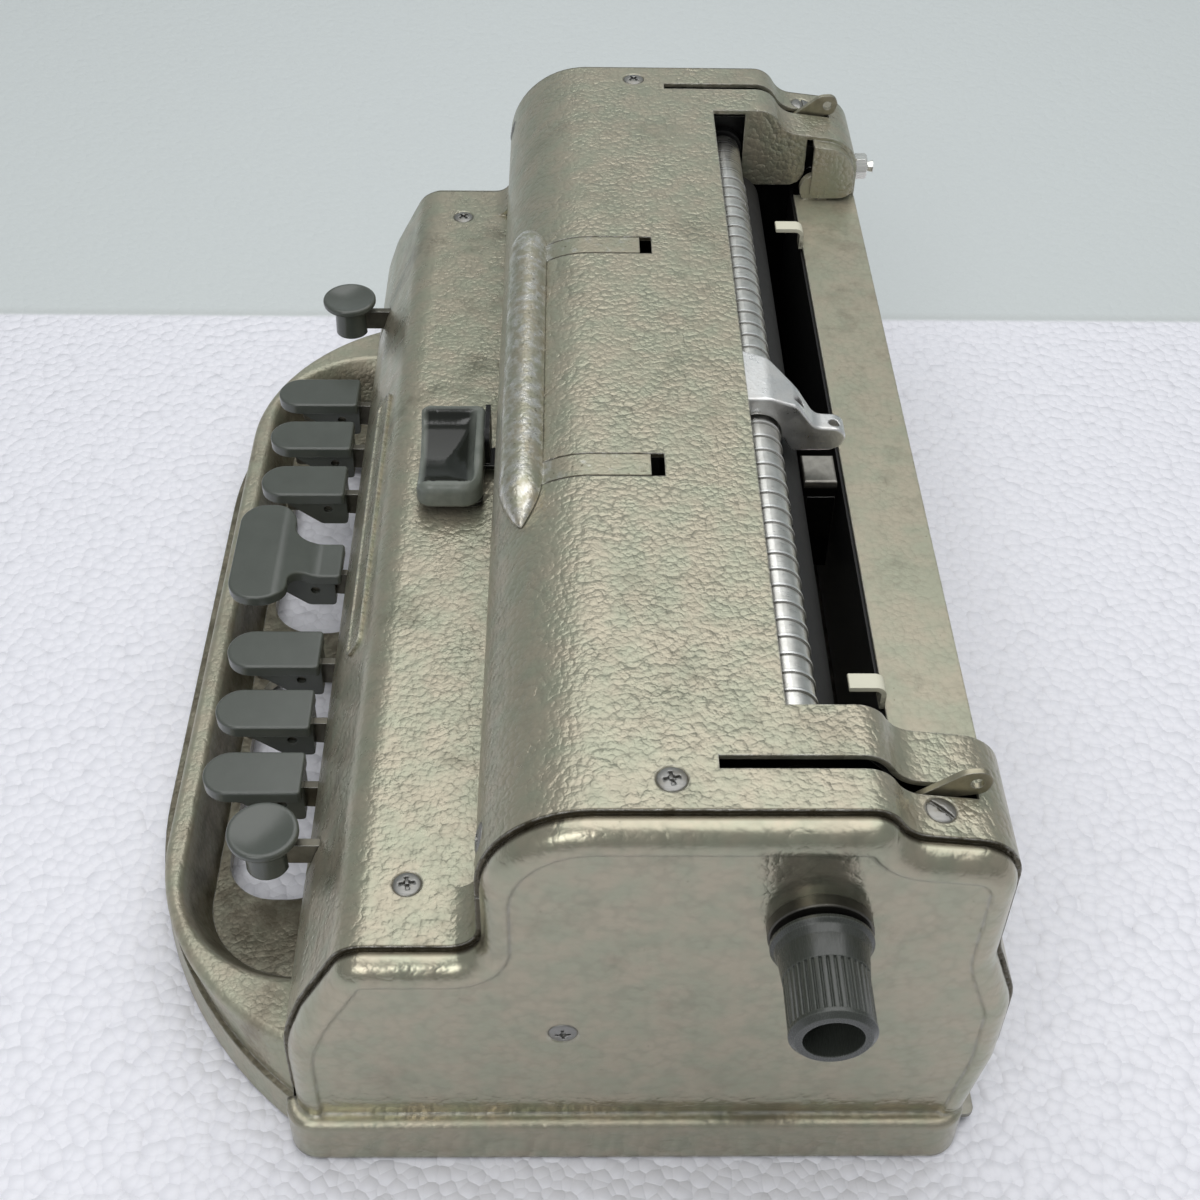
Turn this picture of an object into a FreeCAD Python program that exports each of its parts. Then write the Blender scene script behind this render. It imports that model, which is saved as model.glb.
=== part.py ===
import FreeCAD, Part
import math
import os

from FreeCAD import Vector

# Manual braille writer: six dot keys, a space bar and two round keys in a front tray, a stepped sheet
# steel cover, a ribbed feed roller with a sliding embossing head, and a folding reading rest behind.
# X runs to the user's right, Y to the back and Z up. The origin is on the table, at the middle of the
# footprint. All values are millimetres and degrees.

# ---------------------------------------------------------------- driving dimensions
cell_pitch = 6.25            # one braille cell along the line
cell_count = 42              # cells in a line
opening_half = 143.2         # half the length of the paper opening
end_room = 31.8              # from the opening to the covers' end
cover_sheet = 1.5            # thickness of the sheet covers
top_height = 136.5           # flat top of the upper cover
shelf_height = 84.5          # lower step, in front of the upper cover
ledge_rear_drop = 12.0       # rear ledge below the flat top, at its back edge
ledge_front_drop = 8.7       # the same ledge at its front edge
shelf_gap = 3.9              # gap under the upper cover, for the carriage lever's arm
seam = 0.5                   # open seam between neighbouring covers

# end castings
casting_joint = 0.8          # dark groove between the covers and the casting
casting_depth = 7.0          # from the covers' end to the crest of the casting's bead
casting_inset = 1.2          # casting's outline inside the covers' outline
casting_wall = 3.0
casting_edge = 6.0           # rounding of the casting's outer edge
bead_width = 7.0             # bead round the casting's flat face
bead_height = 0.9
bead_edge = 0.8
lip_width = 11.5             # inner rebate that the covers sit on
lip_wall = 2.0
plinth_step = 3.2            # plinth beyond the casting's face
plinth_height = 17.0
plinth_front_y = -67.9
plinth_rear_y = 114.3
plinth_corner = 8.5
plinth_lift = 1.0            # underside above the table

# body section, seen from the side
section_base = 4.6
foot_front_y = -66.0
foot_bend_height = 46.0
shelf_nose_y = -48.0
shelf_nose_radius = 10.0
step_y = -14.6
step_radius = 7.0
shoulder_radius = 28.0
ledge_start_y = 79.5
ledge_front_y = 85.0
rear_wall_y = 112.2
rear_corner_radius = 13.0
bulge_y = 119.3
foot_rear_y = 113.6

# seams between the covers
front_cover_foot = 20.0
riser_reach = 14.3           # beyond this, past the opening, the lower cover rises to meet the upper one
riser_drop = 32.5
shelf_join_y = -30.5         # where the flat shelf meets the bent apron
shelf_rear_y = -12.2
rear_seam_drop = 37.5

# paper opening and what shows in it
opening_front_y = 58.3
side_guide_rear_y = 93.0
side_guide_drop = 29.5
release_slot_reach = 17.7    # release slot past the opening's end
release_slot_width = 4.0
release_slot_front_y = 41.5
release_slot_rear_y = 102.5

# base
pan_sheet = 1.5
pan_height = 2.5
pan_rim = 9.0
pan_tail_y = 119.7           # strip of the pan that shows behind the back cover
pan_tail_corner = 2.5
foot_pad_radius = 6.5

# key tray
tray_overhang = 0.4          # tray past the covers' end
tray_front_y = -118.0
tray_rear_y = -66.8
tray_corner_run = 105.4       # from the tray's end to where its front begins to curve
tray_rim_inset = 10.4
tray_rim_front_y = -111.0
tray_rim_corner_run = 75.4
tray_rim_height = 26.5
tray_band_height = 12.0
tray_floor_top = 8.0
tray_floor_sheet = 4.0
tray_rim_rounding = 2.4
bowl_inset = 29.4
bowl_front_y = -105.5
bowl_corner_run = 67.4
bowl_floor_inset = 44.4
bowl_floor_front_y = -99.0
bowl_floor_corner_run = 70.4
tray_web = 17.0              # floor web between the two openings
tray_opening_inset = 70.4
tray_opening_front_y = -96.0
tray_opening_rear_y = -62.0
tray_opening_corner = 15.0

# keys
key_spacing = 25.1           # dots 1-2-3 and 4-5-6
dot_key_inner_x = 40.8       # dots 3 and 4 from the middle
cap_width = 16.0
cap_length = 29.0
cap_rear_y = -69.5
cap_top = 50.5
cap_lip = 4.0
cap_web_width = 9.0
cap_web_drop = 16.0
space_top = 55.0
space_width = 45.5
space_depth = 18.5
space_front_y = -101.5
space_stem_width = 16.0
space_stem_rear_y = -66.7
round_key_x = 126.0
round_key_y = -74.7
round_key_top = 68.0
round_key_radius = 9.75
round_key_disc = 2.6
round_stem_radius = 6.0
round_stem_foot = 53.5
lever_sheet = 2.5
lever_height = 9.0
lever_fit = 0.1              # clearance of a lever in its cap or notch, each side
pin_radius = 1.5
shaft_y = -20.0
shaft_z = 36.0
shaft_radius = 4.0
shaft_fit = 0.05
hub_radius = 9.0
comb_y = -52.0
comb_sheet = 3.0
comb_height = 66.0
comb_fit = 0.3
notch_width = 3.4

# embossing bars, one lifted by each dot key
bar_first_y = 10.0
bar_spacing = 8.0
bar_thickness = 2.0
bar_low = 52.0
bar_depth = 8.0
bar_lift_gap = 0.3
bail_end_gap = 1.5           # from the outermost bail's arms to the side frames
bail_arm_sheet = 2.0
bail_arm_gap = 1.0           # between the arms of one bail and the next
bail_hub_radius = 6.5

# side frames and what they carry
frame_reach = 5.8            # side frame past the opening's end
frame_sheet = 3.0
rail_radius = 4.0
rail_drop = 4.5              # rails' axes below the shelf
rail_front_y = 14.0
rail_rear_y = 44.0
rail_fit = 0.08
rack_y = -5.0
rack_thickness = 3.0
rack_drop = 5.5              # top of the rack below the shelf
rack_depth = 9.0
rack_tooth = 2.5

# end-of-line bell
bell_inset = 25.2            # inside the opening's end
bell_y = 84.0
bell_z = 24.0
bell_radius = 19.0
bell_sheet = 1.8
bell_post_radius = 3.0

# carriage and embossing head
head_x = 8.0                 # where the embossing head stands
carriage_low_x = -14.0
carriage_high_x = 22.0
carriage_front_y = 4.0
carriage_rear_y = 54.0
carriage_foot = 9.0          # carriage below the rails' axes
carriage_rise = 8.0          # carriage above the rails' axes
riser_front_y = 36.0
riser_rear_y = 48.0
head_length = 24.0
head_seat_drop = 18.5
head_top_drop = 4.1
head_front_y = 33.0
nose_width = 7.0
nose_y = 89.5
stylus_block_front_y = 77.6
stylus_block_rear_y = 87.4
stylus_block_drop = 31.5
stylus_block_length = 12.5

# carriage lever
lever_arm_sheet = 1.6
lever_arm_gap = 1.8
lever_neck_x = -8.0
lever_neck_width = 9.0
lever_knuckle_radius = 3.5
lever_pivot_y = -0.5
lever_upright_low_x = -20.5
lever_upright_high_x = -4.5
scoop_low_x = -21.0
scoop_high_x = 16.6
scoop_front_y = -39.5
scoop_rear_y = -19.0
scoop_height = 10.7          # far wall above the lever's arm
scoop_lip_height = 7.9       # near lip above the lever's arm
scoop_floor = 2.0            # thickness under the finger
scoop_wall = 3.2             # rear wall
scoop_corner = 5.5
scoop_far_foot = 10.0        # foot of the far wall, from the far edge
scoop_far_radius = 13.0
scoop_near_foot = 9.5        # foot of the near wall, from the near edge
scoop_near_radius = 12.0

# paper feed
feed_y = 66.0
feed_drop = 35.0             # feed roller's axis below the flat top
feed_roller_radius = 11.0
feed_roller_gap = 2.2        # roller's end inside the opening's end
feed_shaft_radius = 5.0
ribbed_y = 62.3
ribbed_drop = 17.0
ribbed_radius = 6.55
rib_height = 0.45
rib_width = 0.8
first_rib_x = -115.15
ribbed_journal = 3.5
bearing_radius = 7.5
knob_radius = 10.0
knob_flange_radius = 12.2
knob_length = 25.6
knob_bore = 7.0
knob_bore_depth = 15.5
knob_clear = 1.5
knob_flutes = 36
knob_flute_depth = 0.7
knob_grip_start = 10.1
knob_end_ring = 2.2
bush_radius = 12.5
bush_flange = 2.4

# paper release levers
blade_sheet = 1.6
blade_hub = 9.0
blade_hole = 1.6

# handle
handle_half = 73.5
handle_straight_half = 57.0
handle_radius = 6.6
handle_y = -5.3
handle_drop = 6.9
strap_x = 54.8
strap_width = 9.2
strap_fit = 0.2
strap_thickness = 2.0
strap_rear_y = 29.6
strap_slot_front_y = -10.6
strap_slot_rear_y = 33.4
handle_pin_y = 26.8
handle_pin_drop = 5.5

# reading rest
rest_sheet = 1.2
rest_drop = 33.3             # top of the rest below the flat top
rest_front_y = 90.0
rest_end_gap = 0.8
rest_pivot_y = 97.4
rest_pivot_drop = 29.3
rest_pivot_radius = 2.0
rest_hub_radius = 5.8
rest_hub_length = 2.9
rest_washer = 4.0

# pressed cap at the left end of the opening, over the reading rest's hub
cap_depth = 5.2
cap_front_y = 95.2
cap_foot_gap = 1.3           # above the reading rest
cap_foot_radius = 1.5
cap_rear_radius = 7.0

# small parts
shelf_screw_reach = 13.1     # screws past the opening's end
cover_screw_reach = 22.8
shelf_screw_y = -32.8
top_screw_y = 30.6
shoulder_screw_angle = 14.0
ledge_screw_y = 92.8
casting_screw_y = 6.2
casting_screw_z = 55.6
screw_margin = 0.35          # dark ring round a screw head
screw_head_radius = 3.7
screw_shank_radius = 1.8
screw_length = 8.0
hex_across = 8.0
hex_height = 4.4
stud_reach = 6.8
stud_drop = 25.5
stud_radius = 2.2
stud_length = 8.4
stud_neck_radius = 1.6       # where the tip leaves the nut
hex_chamfer = 0.5
tab_x = 110.4
tab_half = 2.6
tab_sheet = 1.4
tab_reach = 10.0             # in front of the reading rest
tab_lift = 6.8               # top of the tabs above the reading rest
tab_bend = 3.0

# ---------------------------------------------------------------- derived places
cover_half = opening_half + end_room
riser_half_length = opening_half + riser_reach
release_slot_x = opening_half + release_slot_reach
shelf_screw_x = opening_half + shelf_screw_reach
cover_screw_x = opening_half + cover_screw_reach
frame_inner_x = opening_half + frame_reach
feed_roller_half = opening_half - feed_roller_gap
rest_half = opening_half - rest_end_gap
tray_half = cover_half + tray_overhang
tray_corner_start = tray_half - tray_corner_run
tray_rim_corner_start = tray_half - tray_rim_corner_run
bowl_corner_start = tray_half - bowl_corner_run
bowl_floor_corner_start = tray_half - bowl_floor_corner_run
tray_opening_end = tray_half - tray_opening_inset
casting_inner_x = cover_half + casting_joint
casting_face_x = cover_half + casting_depth
panel_x = casting_face_x - bead_height     # flat face inside the casting's bead
plinth_x = casting_face_x + plinth_step
section_top_y = step_y + shoulder_radius
frame_outer_x = frame_inner_x + frame_sheet
pan_rim_y = foot_rear_y - cover_sheet - 4
far = 2 * cover_half                       # past every piece, for cutting tools
sky = top_height + 20                      # above every piece, for cutting tools
ledge_height = top_height - ledge_rear_drop
ledge_front_height = top_height - ledge_front_drop
riser_top = top_height - riser_drop
rear_seam = top_height - rear_seam_drop
feed_z = top_height - feed_drop
ribbed_z = top_height - ribbed_drop
head_seat = top_height - head_seat_drop
head_top = top_height - head_top_drop
stylus_block_top = top_height - stylus_block_drop
handle_z = top_height - handle_drop
handle_pin_z = top_height - handle_pin_drop
rest_top = top_height - rest_drop
rest_pivot_z = top_height - rest_pivot_drop
slot_low = top_height - 24.5               # foot of the slots cut through the upper cover
lever_arm_z = shelf_height + lever_arm_gap
rail_height = shelf_height - rail_drop
rack_top = shelf_height - rack_drop
carriage_low = rail_height - carriage_foot
carriage_top = rail_height + carriage_rise
bell_x = opening_half - bell_inset
lever_pivot_z = lever_arm_z + lever_arm_sheet - lever_knuckle_radius
dot_x = [-dot_key_inner_x - key_spacing * step for step in (2, 1, 0)]
dot_x += [dot_key_inner_x + key_spacing * step for step in (0, 1, 2)]
bar_y = [bar_first_y + bar_spacing * index for index in range(6)]
parts = {}


# ---------------------------------------------------------------- shape helpers
def side_view(x):
    """Place a point (a, b) of a side view at this x."""
    return lambda a, b: Vector(x, a, b)


def front_view(y):
    """Place a point (a, b) of a front view at this y."""
    return lambda a, b: Vector(a, y, b)


def plan_view(z):
    """Place a point (a, b) of a plan at this height."""
    return lambda a, b: Vector(a, b, z)


def rounded_wire(corners, place):
    """Closed wire through corners (a, b, radius), each rounded by a tangent arc."""
    bends = []
    for index, (a, b, radius) in enumerate(corners):
        here = Vector(a, b, 0)
        before = (Vector(*corners[index - 1][:2], 0) - here).normalize()
        after = (Vector(*corners[(index + 1) % len(corners)][:2], 0) - here).normalize()
        if radius == 0:
            bends.append((here, here, here))
            continue
        half = before.getAngle(after) / 2
        reach = radius / math.tan(half)
        inward = (before + after).normalize()
        middle = here + inward * (radius / math.sin(half) - radius)
        bends.append((here + before * reach, middle, here + after * reach))
    edges = []
    for index, (start, middle, end) in enumerate(bends):
        if (start - end).Length > 1e-6:
            points = [place(point.x, point.y) for point in (start, middle, end)]
            edges.append(Part.Arc(*points).toShape())
        following = bends[(index + 1) % len(bends)][0]
        if (following - end).Length > 1e-6:
            edges.append(Part.makeLine(place(end.x, end.y), place(following.x, following.y)))
    return Part.Wire(edges)


def prism(corners, low_x, high_x):
    """Side-view outline drawn out along X."""
    face = Part.Face(rounded_wire(corners, side_view(low_x)))
    return face.extrude(Vector(high_x - low_x, 0, 0))


def slab(corners, low_z, high_z):
    """Plan outline drawn out along Z."""
    face = Part.Face(rounded_wire(corners, plan_view(low_z)))
    return face.extrude(Vector(0, 0, high_z - low_z))


def box(low_x, high_x, low_y, high_y, low_z, high_z):
    """Box between two corners."""
    corner = Vector(low_x, low_y, low_z)
    return Part.makeBox(high_x - low_x, high_y - low_y, high_z - low_z, corner)


def rod(low_x, high_x, y, z, radius):
    """Round bar along X."""
    return Part.makeCylinder(radius, high_x - low_x, Vector(low_x, y, z), Vector(1, 0, 0))


def rounded_box(low_a, high_a, low_b, high_b, radius):
    """Corners of a rectangle with equal corner radii."""
    return [(low_a, low_b, radius), (high_a, low_b, radius), (high_a, high_b, radius), (low_a, high_b, radius)]


def mirrored(shape):
    """The same shape at the other end of the machine."""
    return shape.mirror(Vector(0, 0, 0), Vector(1, 0, 0))


def both_ends(shape):
    """The shape and its mirror image, as one tool for cutting or joining."""
    return Part.Compound([shape, mirrored(shape)])


def joined(shapes):
    """One clean solid from shapes that meet."""
    result = shapes[0].fuse(list(shapes[1:])) if len(shapes) > 1 else shapes[0]
    return result.removeSplitter()


def group(solids):
    """Separate solids that share one node."""
    return Part.Compound(solids)


# ---------------------------------------------------------------- body section
def section_corners():
    """Outer outline of the covers, seen from the machine's right end."""
    return [
        (foot_front_y, section_base, 0),
        (foot_front_y, foot_bend_height, 40),
        (foot_front_y + 5.5, foot_bend_height + 15.5, 25),
        (shelf_nose_y, shelf_height, shelf_nose_radius),
        (step_y, shelf_height, step_radius),
        (step_y, top_height, shoulder_radius),
        (ledge_start_y, top_height, 9),
        (ledge_front_y, ledge_front_height, 9),
        (rear_wall_y, ledge_height, rear_corner_radius),
        (rear_wall_y, 86, 15),
        (bulge_y, 66, 20),
        (bulge_y, 42, 30),
        (foot_rear_y, section_base, 0),
    ]


def section_prism(inset, low_x, high_x):
    """The body section, drawn in by an inset, between two places along X."""
    wire = rounded_wire(section_corners(), side_view(low_x))
    if inset:
        wire = wire.makeOffset2D(-inset, 2)
    return Part.Face(wire).extrude(Vector(high_x - low_x, 0, 0))


def cover_skin(low_x, high_x):
    """Sheet that follows the whole section."""
    return section_prism(0, low_x, high_x).cut(section_prism(cover_sheet, low_x - 1, high_x + 1))


# ---------------------------------------------------------------- covers and castings
def screw(place, margin=0.0):
    """Countersunk screw, or with a margin round its head the hole for it."""
    point, direction = place
    drop = screw_head_radius - screw_shank_radius
    head = Part.makeCone(screw_head_radius + margin, screw_shank_radius, drop + margin, point, direction)
    shank = Part.makeCylinder(screw_shank_radius, screw_length, point + direction * (drop / 2), direction)
    return joined([head, shank])


def screw_places():
    """Head centre and direction of each screw at the right end: shelf, top, shoulder, ledge, casting."""
    turn = math.radians(shoulder_screw_angle)
    inward = Vector(0, math.cos(turn), -math.sin(turn))
    shoulder_centre = Vector(cover_screw_x, section_top_y, top_height - shoulder_radius)
    fall = (ledge_front_height - ledge_height) / (rear_wall_y - ledge_front_y)
    ledge_z = ledge_front_height - fall * (ledge_screw_y - ledge_front_y)
    down = Vector(0, 0, -1)
    return {
        "shelf": (Vector(shelf_screw_x, shelf_screw_y, shelf_height), down),
        "top": (Vector(cover_screw_x, top_screw_y, top_height), down),
        "shoulder": (shoulder_centre - inward * shoulder_radius, inward),
        "ledge": (Vector(cover_screw_x + 1, ledge_screw_y, ledge_z), Vector(0, -fall, -1).normalize()),
        "casting": (Vector(panel_x, casting_screw_y, casting_screw_z), Vector(-1, 0, 0)),
    }


def cut_screw_holes(shape, names):
    """Countersunk holes at both ends for the named screws."""
    places = screw_places()
    for name in names:
        shape = shape.cut(both_ends(screw(places[name], screw_margin)))
    return shape


def make_front_cover():
    skin = cover_skin(-cover_half, cover_half)
    apron = skin.common(box(-cover_half, cover_half, -90, shelf_join_y + 0.5,
                            front_cover_foot, shelf_height + 20))
    shelf = box(-riser_half_length, riser_half_length, shelf_join_y, shelf_rear_y,
                shelf_height - cover_sheet, shelf_height)
    riser_box = box(riser_half_length, cover_half, shelf_join_y, step_y + 3, shelf_height - 3, riser_top)
    risers = [skin.common(riser_box), skin.common(mirrored(riser_box))]
    cover = joined([apron, shelf] + risers)
    notch = notch_width / 2
    for x in dot_x + [0.0]:
        cover = cover.cut(box(x - notch, x + notch, -80, -55, 0, cap_top - 3))
    for x in (-round_key_x, round_key_x):
        cover = cover.cut(box(x - notch, x + notch, -80, -50, 0, round_key_top - 5))
    return cut_screw_holes(cover, ["shelf"])


def side_guide():
    """Wall that hangs from the cover's edge at the right end of the paper opening."""
    wall = section_prism(0, opening_half, opening_half + cover_sheet)
    window = rounded_box(70.0, side_guide_rear_y, top_height - side_guide_drop, sky, 6)
    return wall.common(prism(window, opening_half - 1, opening_half + 5))


def strap_slot():
    """Slot of the right handle strap, through the upper cover."""
    half = strap_width / 2 + strap_fit
    return box(strap_x - half, strap_x + half, strap_slot_front_y, strap_slot_rear_y, slot_low, sky)


def release_slot():
    """Slot of the right paper release lever."""
    half = release_slot_width / 2
    low_x = release_slot_x - half
    return box(low_x, low_x + 2 * half, release_slot_front_y, release_slot_rear_y, slot_low, sky)


def rest_cap():
    """Pressed cap at the left end of the opening, open to the end, over the reading rest's hub."""
    low_x = -opening_half - cover_sheet
    high_x = cap_depth - opening_half
    foot = rest_top + cap_foot_gap
    outline = prism([(cap_front_y, foot, cap_foot_radius), (cap_front_y, sky, 0), (rear_wall_y, sky, 0),
                     (rear_wall_y, foot, cap_rear_radius)], low_x, high_x)
    hollow = section_prism(2 * cover_sheet, -far, high_x - cover_sheet)
    return section_prism(cover_sheet, low_x, high_x).cut(hollow).common(outline)


def make_top_cover():
    skin = cover_skin(-cover_half, cover_half)
    under_edge = shelf_height + shelf_gap
    middle = skin.common(box(-riser_half_length, riser_half_length, step_y - 2, 50, under_edge, sky))
    ends = []
    for shape in (box(riser_half_length, cover_half, step_y - 2, 50, riser_top + seam, sky),
                  box(-riser_half_length, cover_half, 49, far, rear_seam + seam, sky)):
        ends += [skin.common(shape), skin.common(mirrored(shape))]
    cover = joined([middle] + ends)
    cover = cover.cut(box(-opening_half, opening_half, opening_front_y, far, rear_seam - 5, sky))
    guide = side_guide()
    cover = joined([cover, guide, mirrored(guide), rest_cap()])
    cover = cover.cut(both_ends(strap_slot())).cut(both_ends(release_slot()))
    return cut_screw_holes(cover, ["top", "shoulder", "ledge"])


def make_back_cover():
    skin = cover_skin(-cover_half, cover_half)
    return_flange_y = pan_rim_y + pan_sheet + 0.6
    return skin.common(box(-cover_half, cover_half, return_flange_y, far, section_base, rear_seam))


def right_casting():
    """End casting: beaded face, hollow inside, with the lip that carries the covers and the plinth."""
    face = section_prism(casting_inset, casting_inner_x, casting_face_x)
    rim = [edge for edge in face.Edges
           if edge.BoundBox.XMin > casting_face_x - 1e-4
           and edge.BoundBox.ZMax > section_base + casting_inset + 0.1]
    face = face.makeFillet(casting_edge, rim)
    panel = section_prism(casting_inset + bead_width, panel_x, far)
    face = face.cut(panel)
    crease = [edge for edge in face.Edges if edge.BoundBox.XMin > casting_face_x - 1e-4
              and edge.BoundBox.ZMax > section_base + casting_inset + bead_width + 0.1
              and panel.distToShape(edge)[0] < 1e-4]
    face = face.makeFillet(bead_edge, crease)
    face = face.cut(section_prism(casting_wall + 2, casting_inner_x - 1, casting_face_x - casting_wall))
    lip_low_x = cover_half - lip_width
    lip = section_prism(cover_sheet, lip_low_x, casting_inner_x + 1)
    lip = lip.cut(section_prism(cover_sheet + lip_wall, lip_low_x - 1, casting_inner_x + 2))
    plinth = slab([(casting_inner_x, plinth_front_y, 0), (plinth_x, plinth_front_y, plinth_corner),
                   (plinth_x, plinth_rear_y, plinth_corner), (casting_inner_x, plinth_rear_y, 0)],
                  plinth_lift, plinth_height)
    upper = [edge for edge in plinth.Edges if edge.BoundBox.ZMin > plinth_height - 1e-4
             and edge.BoundBox.XMax > casting_inner_x + 1]
    plinth = plinth.makeFillet(2.0, upper)
    hollow = box(casting_inner_x - 1, plinth_x - casting_wall - 0.7, foot_front_y + 2,
                 plinth_rear_y - casting_wall, 0, plinth_height - 4)
    casting = joined([face, plinth.cut(hollow), lip])
    casting = casting.cut(rod(lip_low_x, far, feed_y, feed_z, bush_radius - 5))
    casting = casting.cut(box(lip_low_x - 1, release_slot_x + release_slot_width, release_slot_front_y,
                              release_slot_rear_y, slot_low, sky))
    return cut_screw_holes(casting, ["top", "shoulder", "ledge", "casting"])


def make_castings():
    casting = right_casting()
    parts["right_end_casting"] = casting
    parts["left_end_casting"] = mirrored(casting)


# ---------------------------------------------------------------- base and key tray
def make_base():
    """Sheet base pan with a rear rim, a tail behind the back cover and four rubber feet."""
    half = plinth_x - casting_wall - 0.7
    front = foot_front_y + 2
    rear = plinth_rear_y - casting_wall - 0.2
    plate = box(-half, half, front, rear, pan_height, pan_height + pan_sheet)
    tail_half = cover_half - seam
    tail = slab([(-tail_half, rear - 1, 0), (tail_half, rear - 1, 0),
                 (tail_half, pan_tail_y, pan_tail_corner), (-tail_half, pan_tail_y, pan_tail_corner)],
                pan_height, pan_height + pan_sheet)
    rim_half = cover_half - lip_width - 1
    rim = box(-rim_half, rim_half, pan_rim_y, pan_rim_y + pan_sheet, pan_height, pan_height + pan_rim)
    parts["base_pan"] = joined([plate, tail, rim])
    pads = []
    for side in (-1, 1):
        pads.append(Part.makeCylinder(foot_pad_radius, pan_height, Vector(side * release_slot_x, 98, 0)))
        front_pad_height = tray_floor_top - tray_floor_sheet
        pads.append(Part.makeCylinder(foot_pad_radius, front_pad_height, Vector(side * 116, -86, 0)))
    parts["rubber_feet"] = group(pads)


def tray_wire(half, front_y, corner_start, rear_y, z):
    """Plan outline of the tray at one height: straight front with arcs that run round to the rear."""
    across = half - corner_start
    deep = rear_y - front_y
    radius = (across * across + deep * deep) / (2 * deep)
    turn = math.atan2(across, radius - deep) / 2
    middle = Vector(corner_start + radius * math.sin(turn), front_y + radius - radius * math.cos(turn), z)
    rear_right = Vector(half, rear_y, z)
    front_right = Vector(corner_start, front_y, z)
    front_left = Vector(-corner_start, front_y, z)
    rear_left = Vector(-half, rear_y, z)
    other_middle = Vector(-middle.x, middle.y, z)
    return Part.Wire([
        Part.Arc(rear_right, middle, front_right).toShape(),
        Part.makeLine(front_right, front_left),
        Part.Arc(front_left, other_middle, rear_left).toShape(),
        Part.makeLine(rear_left, rear_right),
    ])


def make_key_tray():
    """Front casting: a shallow bowl under the keys, open below them."""
    band = Part.makeLoft([
        tray_wire(tray_half, tray_front_y, tray_corner_start, tray_rear_y, plinth_lift),
        tray_wire(tray_half - 1, tray_front_y + 1, tray_corner_start, tray_rear_y, tray_band_height)], True)
    wall = Part.makeLoft([
        tray_wire(tray_half - 3, tray_front_y + 3, tray_corner_start, tray_rear_y, tray_band_height - 1),
        tray_wire(tray_half - tray_rim_inset, tray_rim_front_y, tray_rim_corner_start, tray_rear_y,
                  tray_rim_height)], True)
    tray = band.fuse(wall)
    bowl_floor_half = tray_half - bowl_floor_inset
    bowl = Part.makeLoft([
        tray_wire(bowl_floor_half, bowl_floor_front_y, bowl_floor_corner_start, tray_rear_y + 4,
                  tray_floor_top),
        tray_wire(tray_half - bowl_inset, bowl_front_y, bowl_corner_start, tray_rear_y + 4,
                  tray_rim_height + 1)], True)
    tray = tray.cut(bowl)
    floor_low = tray_floor_top - tray_floor_sheet
    tray = tray.cut(Part.makeLoft([
        tray_wire(tray_half - 6, tray_front_y + 6, tray_corner_start, tray_rear_y - 5, 0),
        tray_wire(tray_half - 7, tray_front_y + 7, tray_corner_start, tray_rear_y - 5, floor_low)], True))
    tongue_half = bowl_floor_half - 6
    tongue = box(-tongue_half, tongue_half, tray_rear_y - 1, comb_y - 3, floor_low, tray_floor_top)
    tray = joined([tray, tongue])
    opening = slab(rounded_box(tray_web / 2, tray_opening_end, tray_opening_front_y, tray_opening_rear_y,
                               tray_opening_corner), 0, tray_floor_top + 5)
    tray = tray.cut(both_ends(opening))
    rim_edges = [edge for edge in tray.Edges if edge.BoundBox.ZMin > tray_rim_height - 1e-3
                 and edge.BoundBox.YMin < tray_rear_y - 1]
    parts["key_tray"] = tray.makeFillet(tray_rim_rounding, rim_edges)


# ---------------------------------------------------------------- keys
def lever_plate(x, corners):
    """Key lever: plate on edge with a hub that turns on the key shaft."""
    low_x = x - lever_sheet / 2
    plate = prism(corners, low_x, low_x + lever_sheet)
    hub = rod(x - lever_sheet, x + lever_sheet, shaft_y, shaft_z, hub_radius)
    bore = rod(x - 10, x + 10, shaft_y, shaft_z, shaft_radius + shaft_fit)
    return joined([plate, hub]).cut(bore)


def dot_lever(x, rear_y):
    """Lever of a dot key: its rear nose stands under one embossing bar."""
    top = cap_top - cap_lip - 1.5
    low = top - lever_height
    nose = bar_low - bar_lift_gap
    plate = lever_plate(x, [
        (cap_rear_y - cap_length + 8, low + 2, 1.5), (shaft_y - 14, low - 2, 6), (shaft_y + 2, low - 6, 6),
        (rear_y + 3, low + 2, 2), (rear_y + 3, nose, 1), (rear_y - 3, nose, 1), (rear_y - 3, top - 1.5, 1.5),
        (shaft_y, top, 8), (cap_rear_y - cap_length + 8, top, 1.5)])
    return joined([plate, cap_pin(x)])


def cap_pin(x):
    """Cross pin that holds the cap on the lever."""
    reach = cap_web_width / 2 - 1.2
    return rod(x - reach, x + reach, cap_rear_y - 6.5, cap_top - cap_lip - 5.5, pin_radius)


def cap_web(x, width):
    """Web under a key cap, deep at the rear and running out to the front."""
    low = cap_top - cap_web_drop
    lip = cap_top - cap_lip + 0.5
    return prism([(cap_rear_y, lip, 0), (cap_rear_y, low, 1.5), (cap_rear_y - 9, low, 3),
                  (cap_rear_y - 21, lip - 3, 0), (cap_rear_y - 21, lip, 0)], x - width / 2, x + width / 2)


def lever_pocket(x):
    """Room for the lever and its pin inside a cap."""
    half = lever_sheet / 2 + lever_fit
    slot = box(x - half, x + half, cap_rear_y - cap_length + 6, cap_rear_y + 5, 20, cap_top - cap_lip - 1.4)
    hole = rod(x - 10, x + 10, cap_rear_y - 6.5, cap_top - cap_lip - 5.5, pin_radius)
    return slot.fuse(hole)


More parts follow.
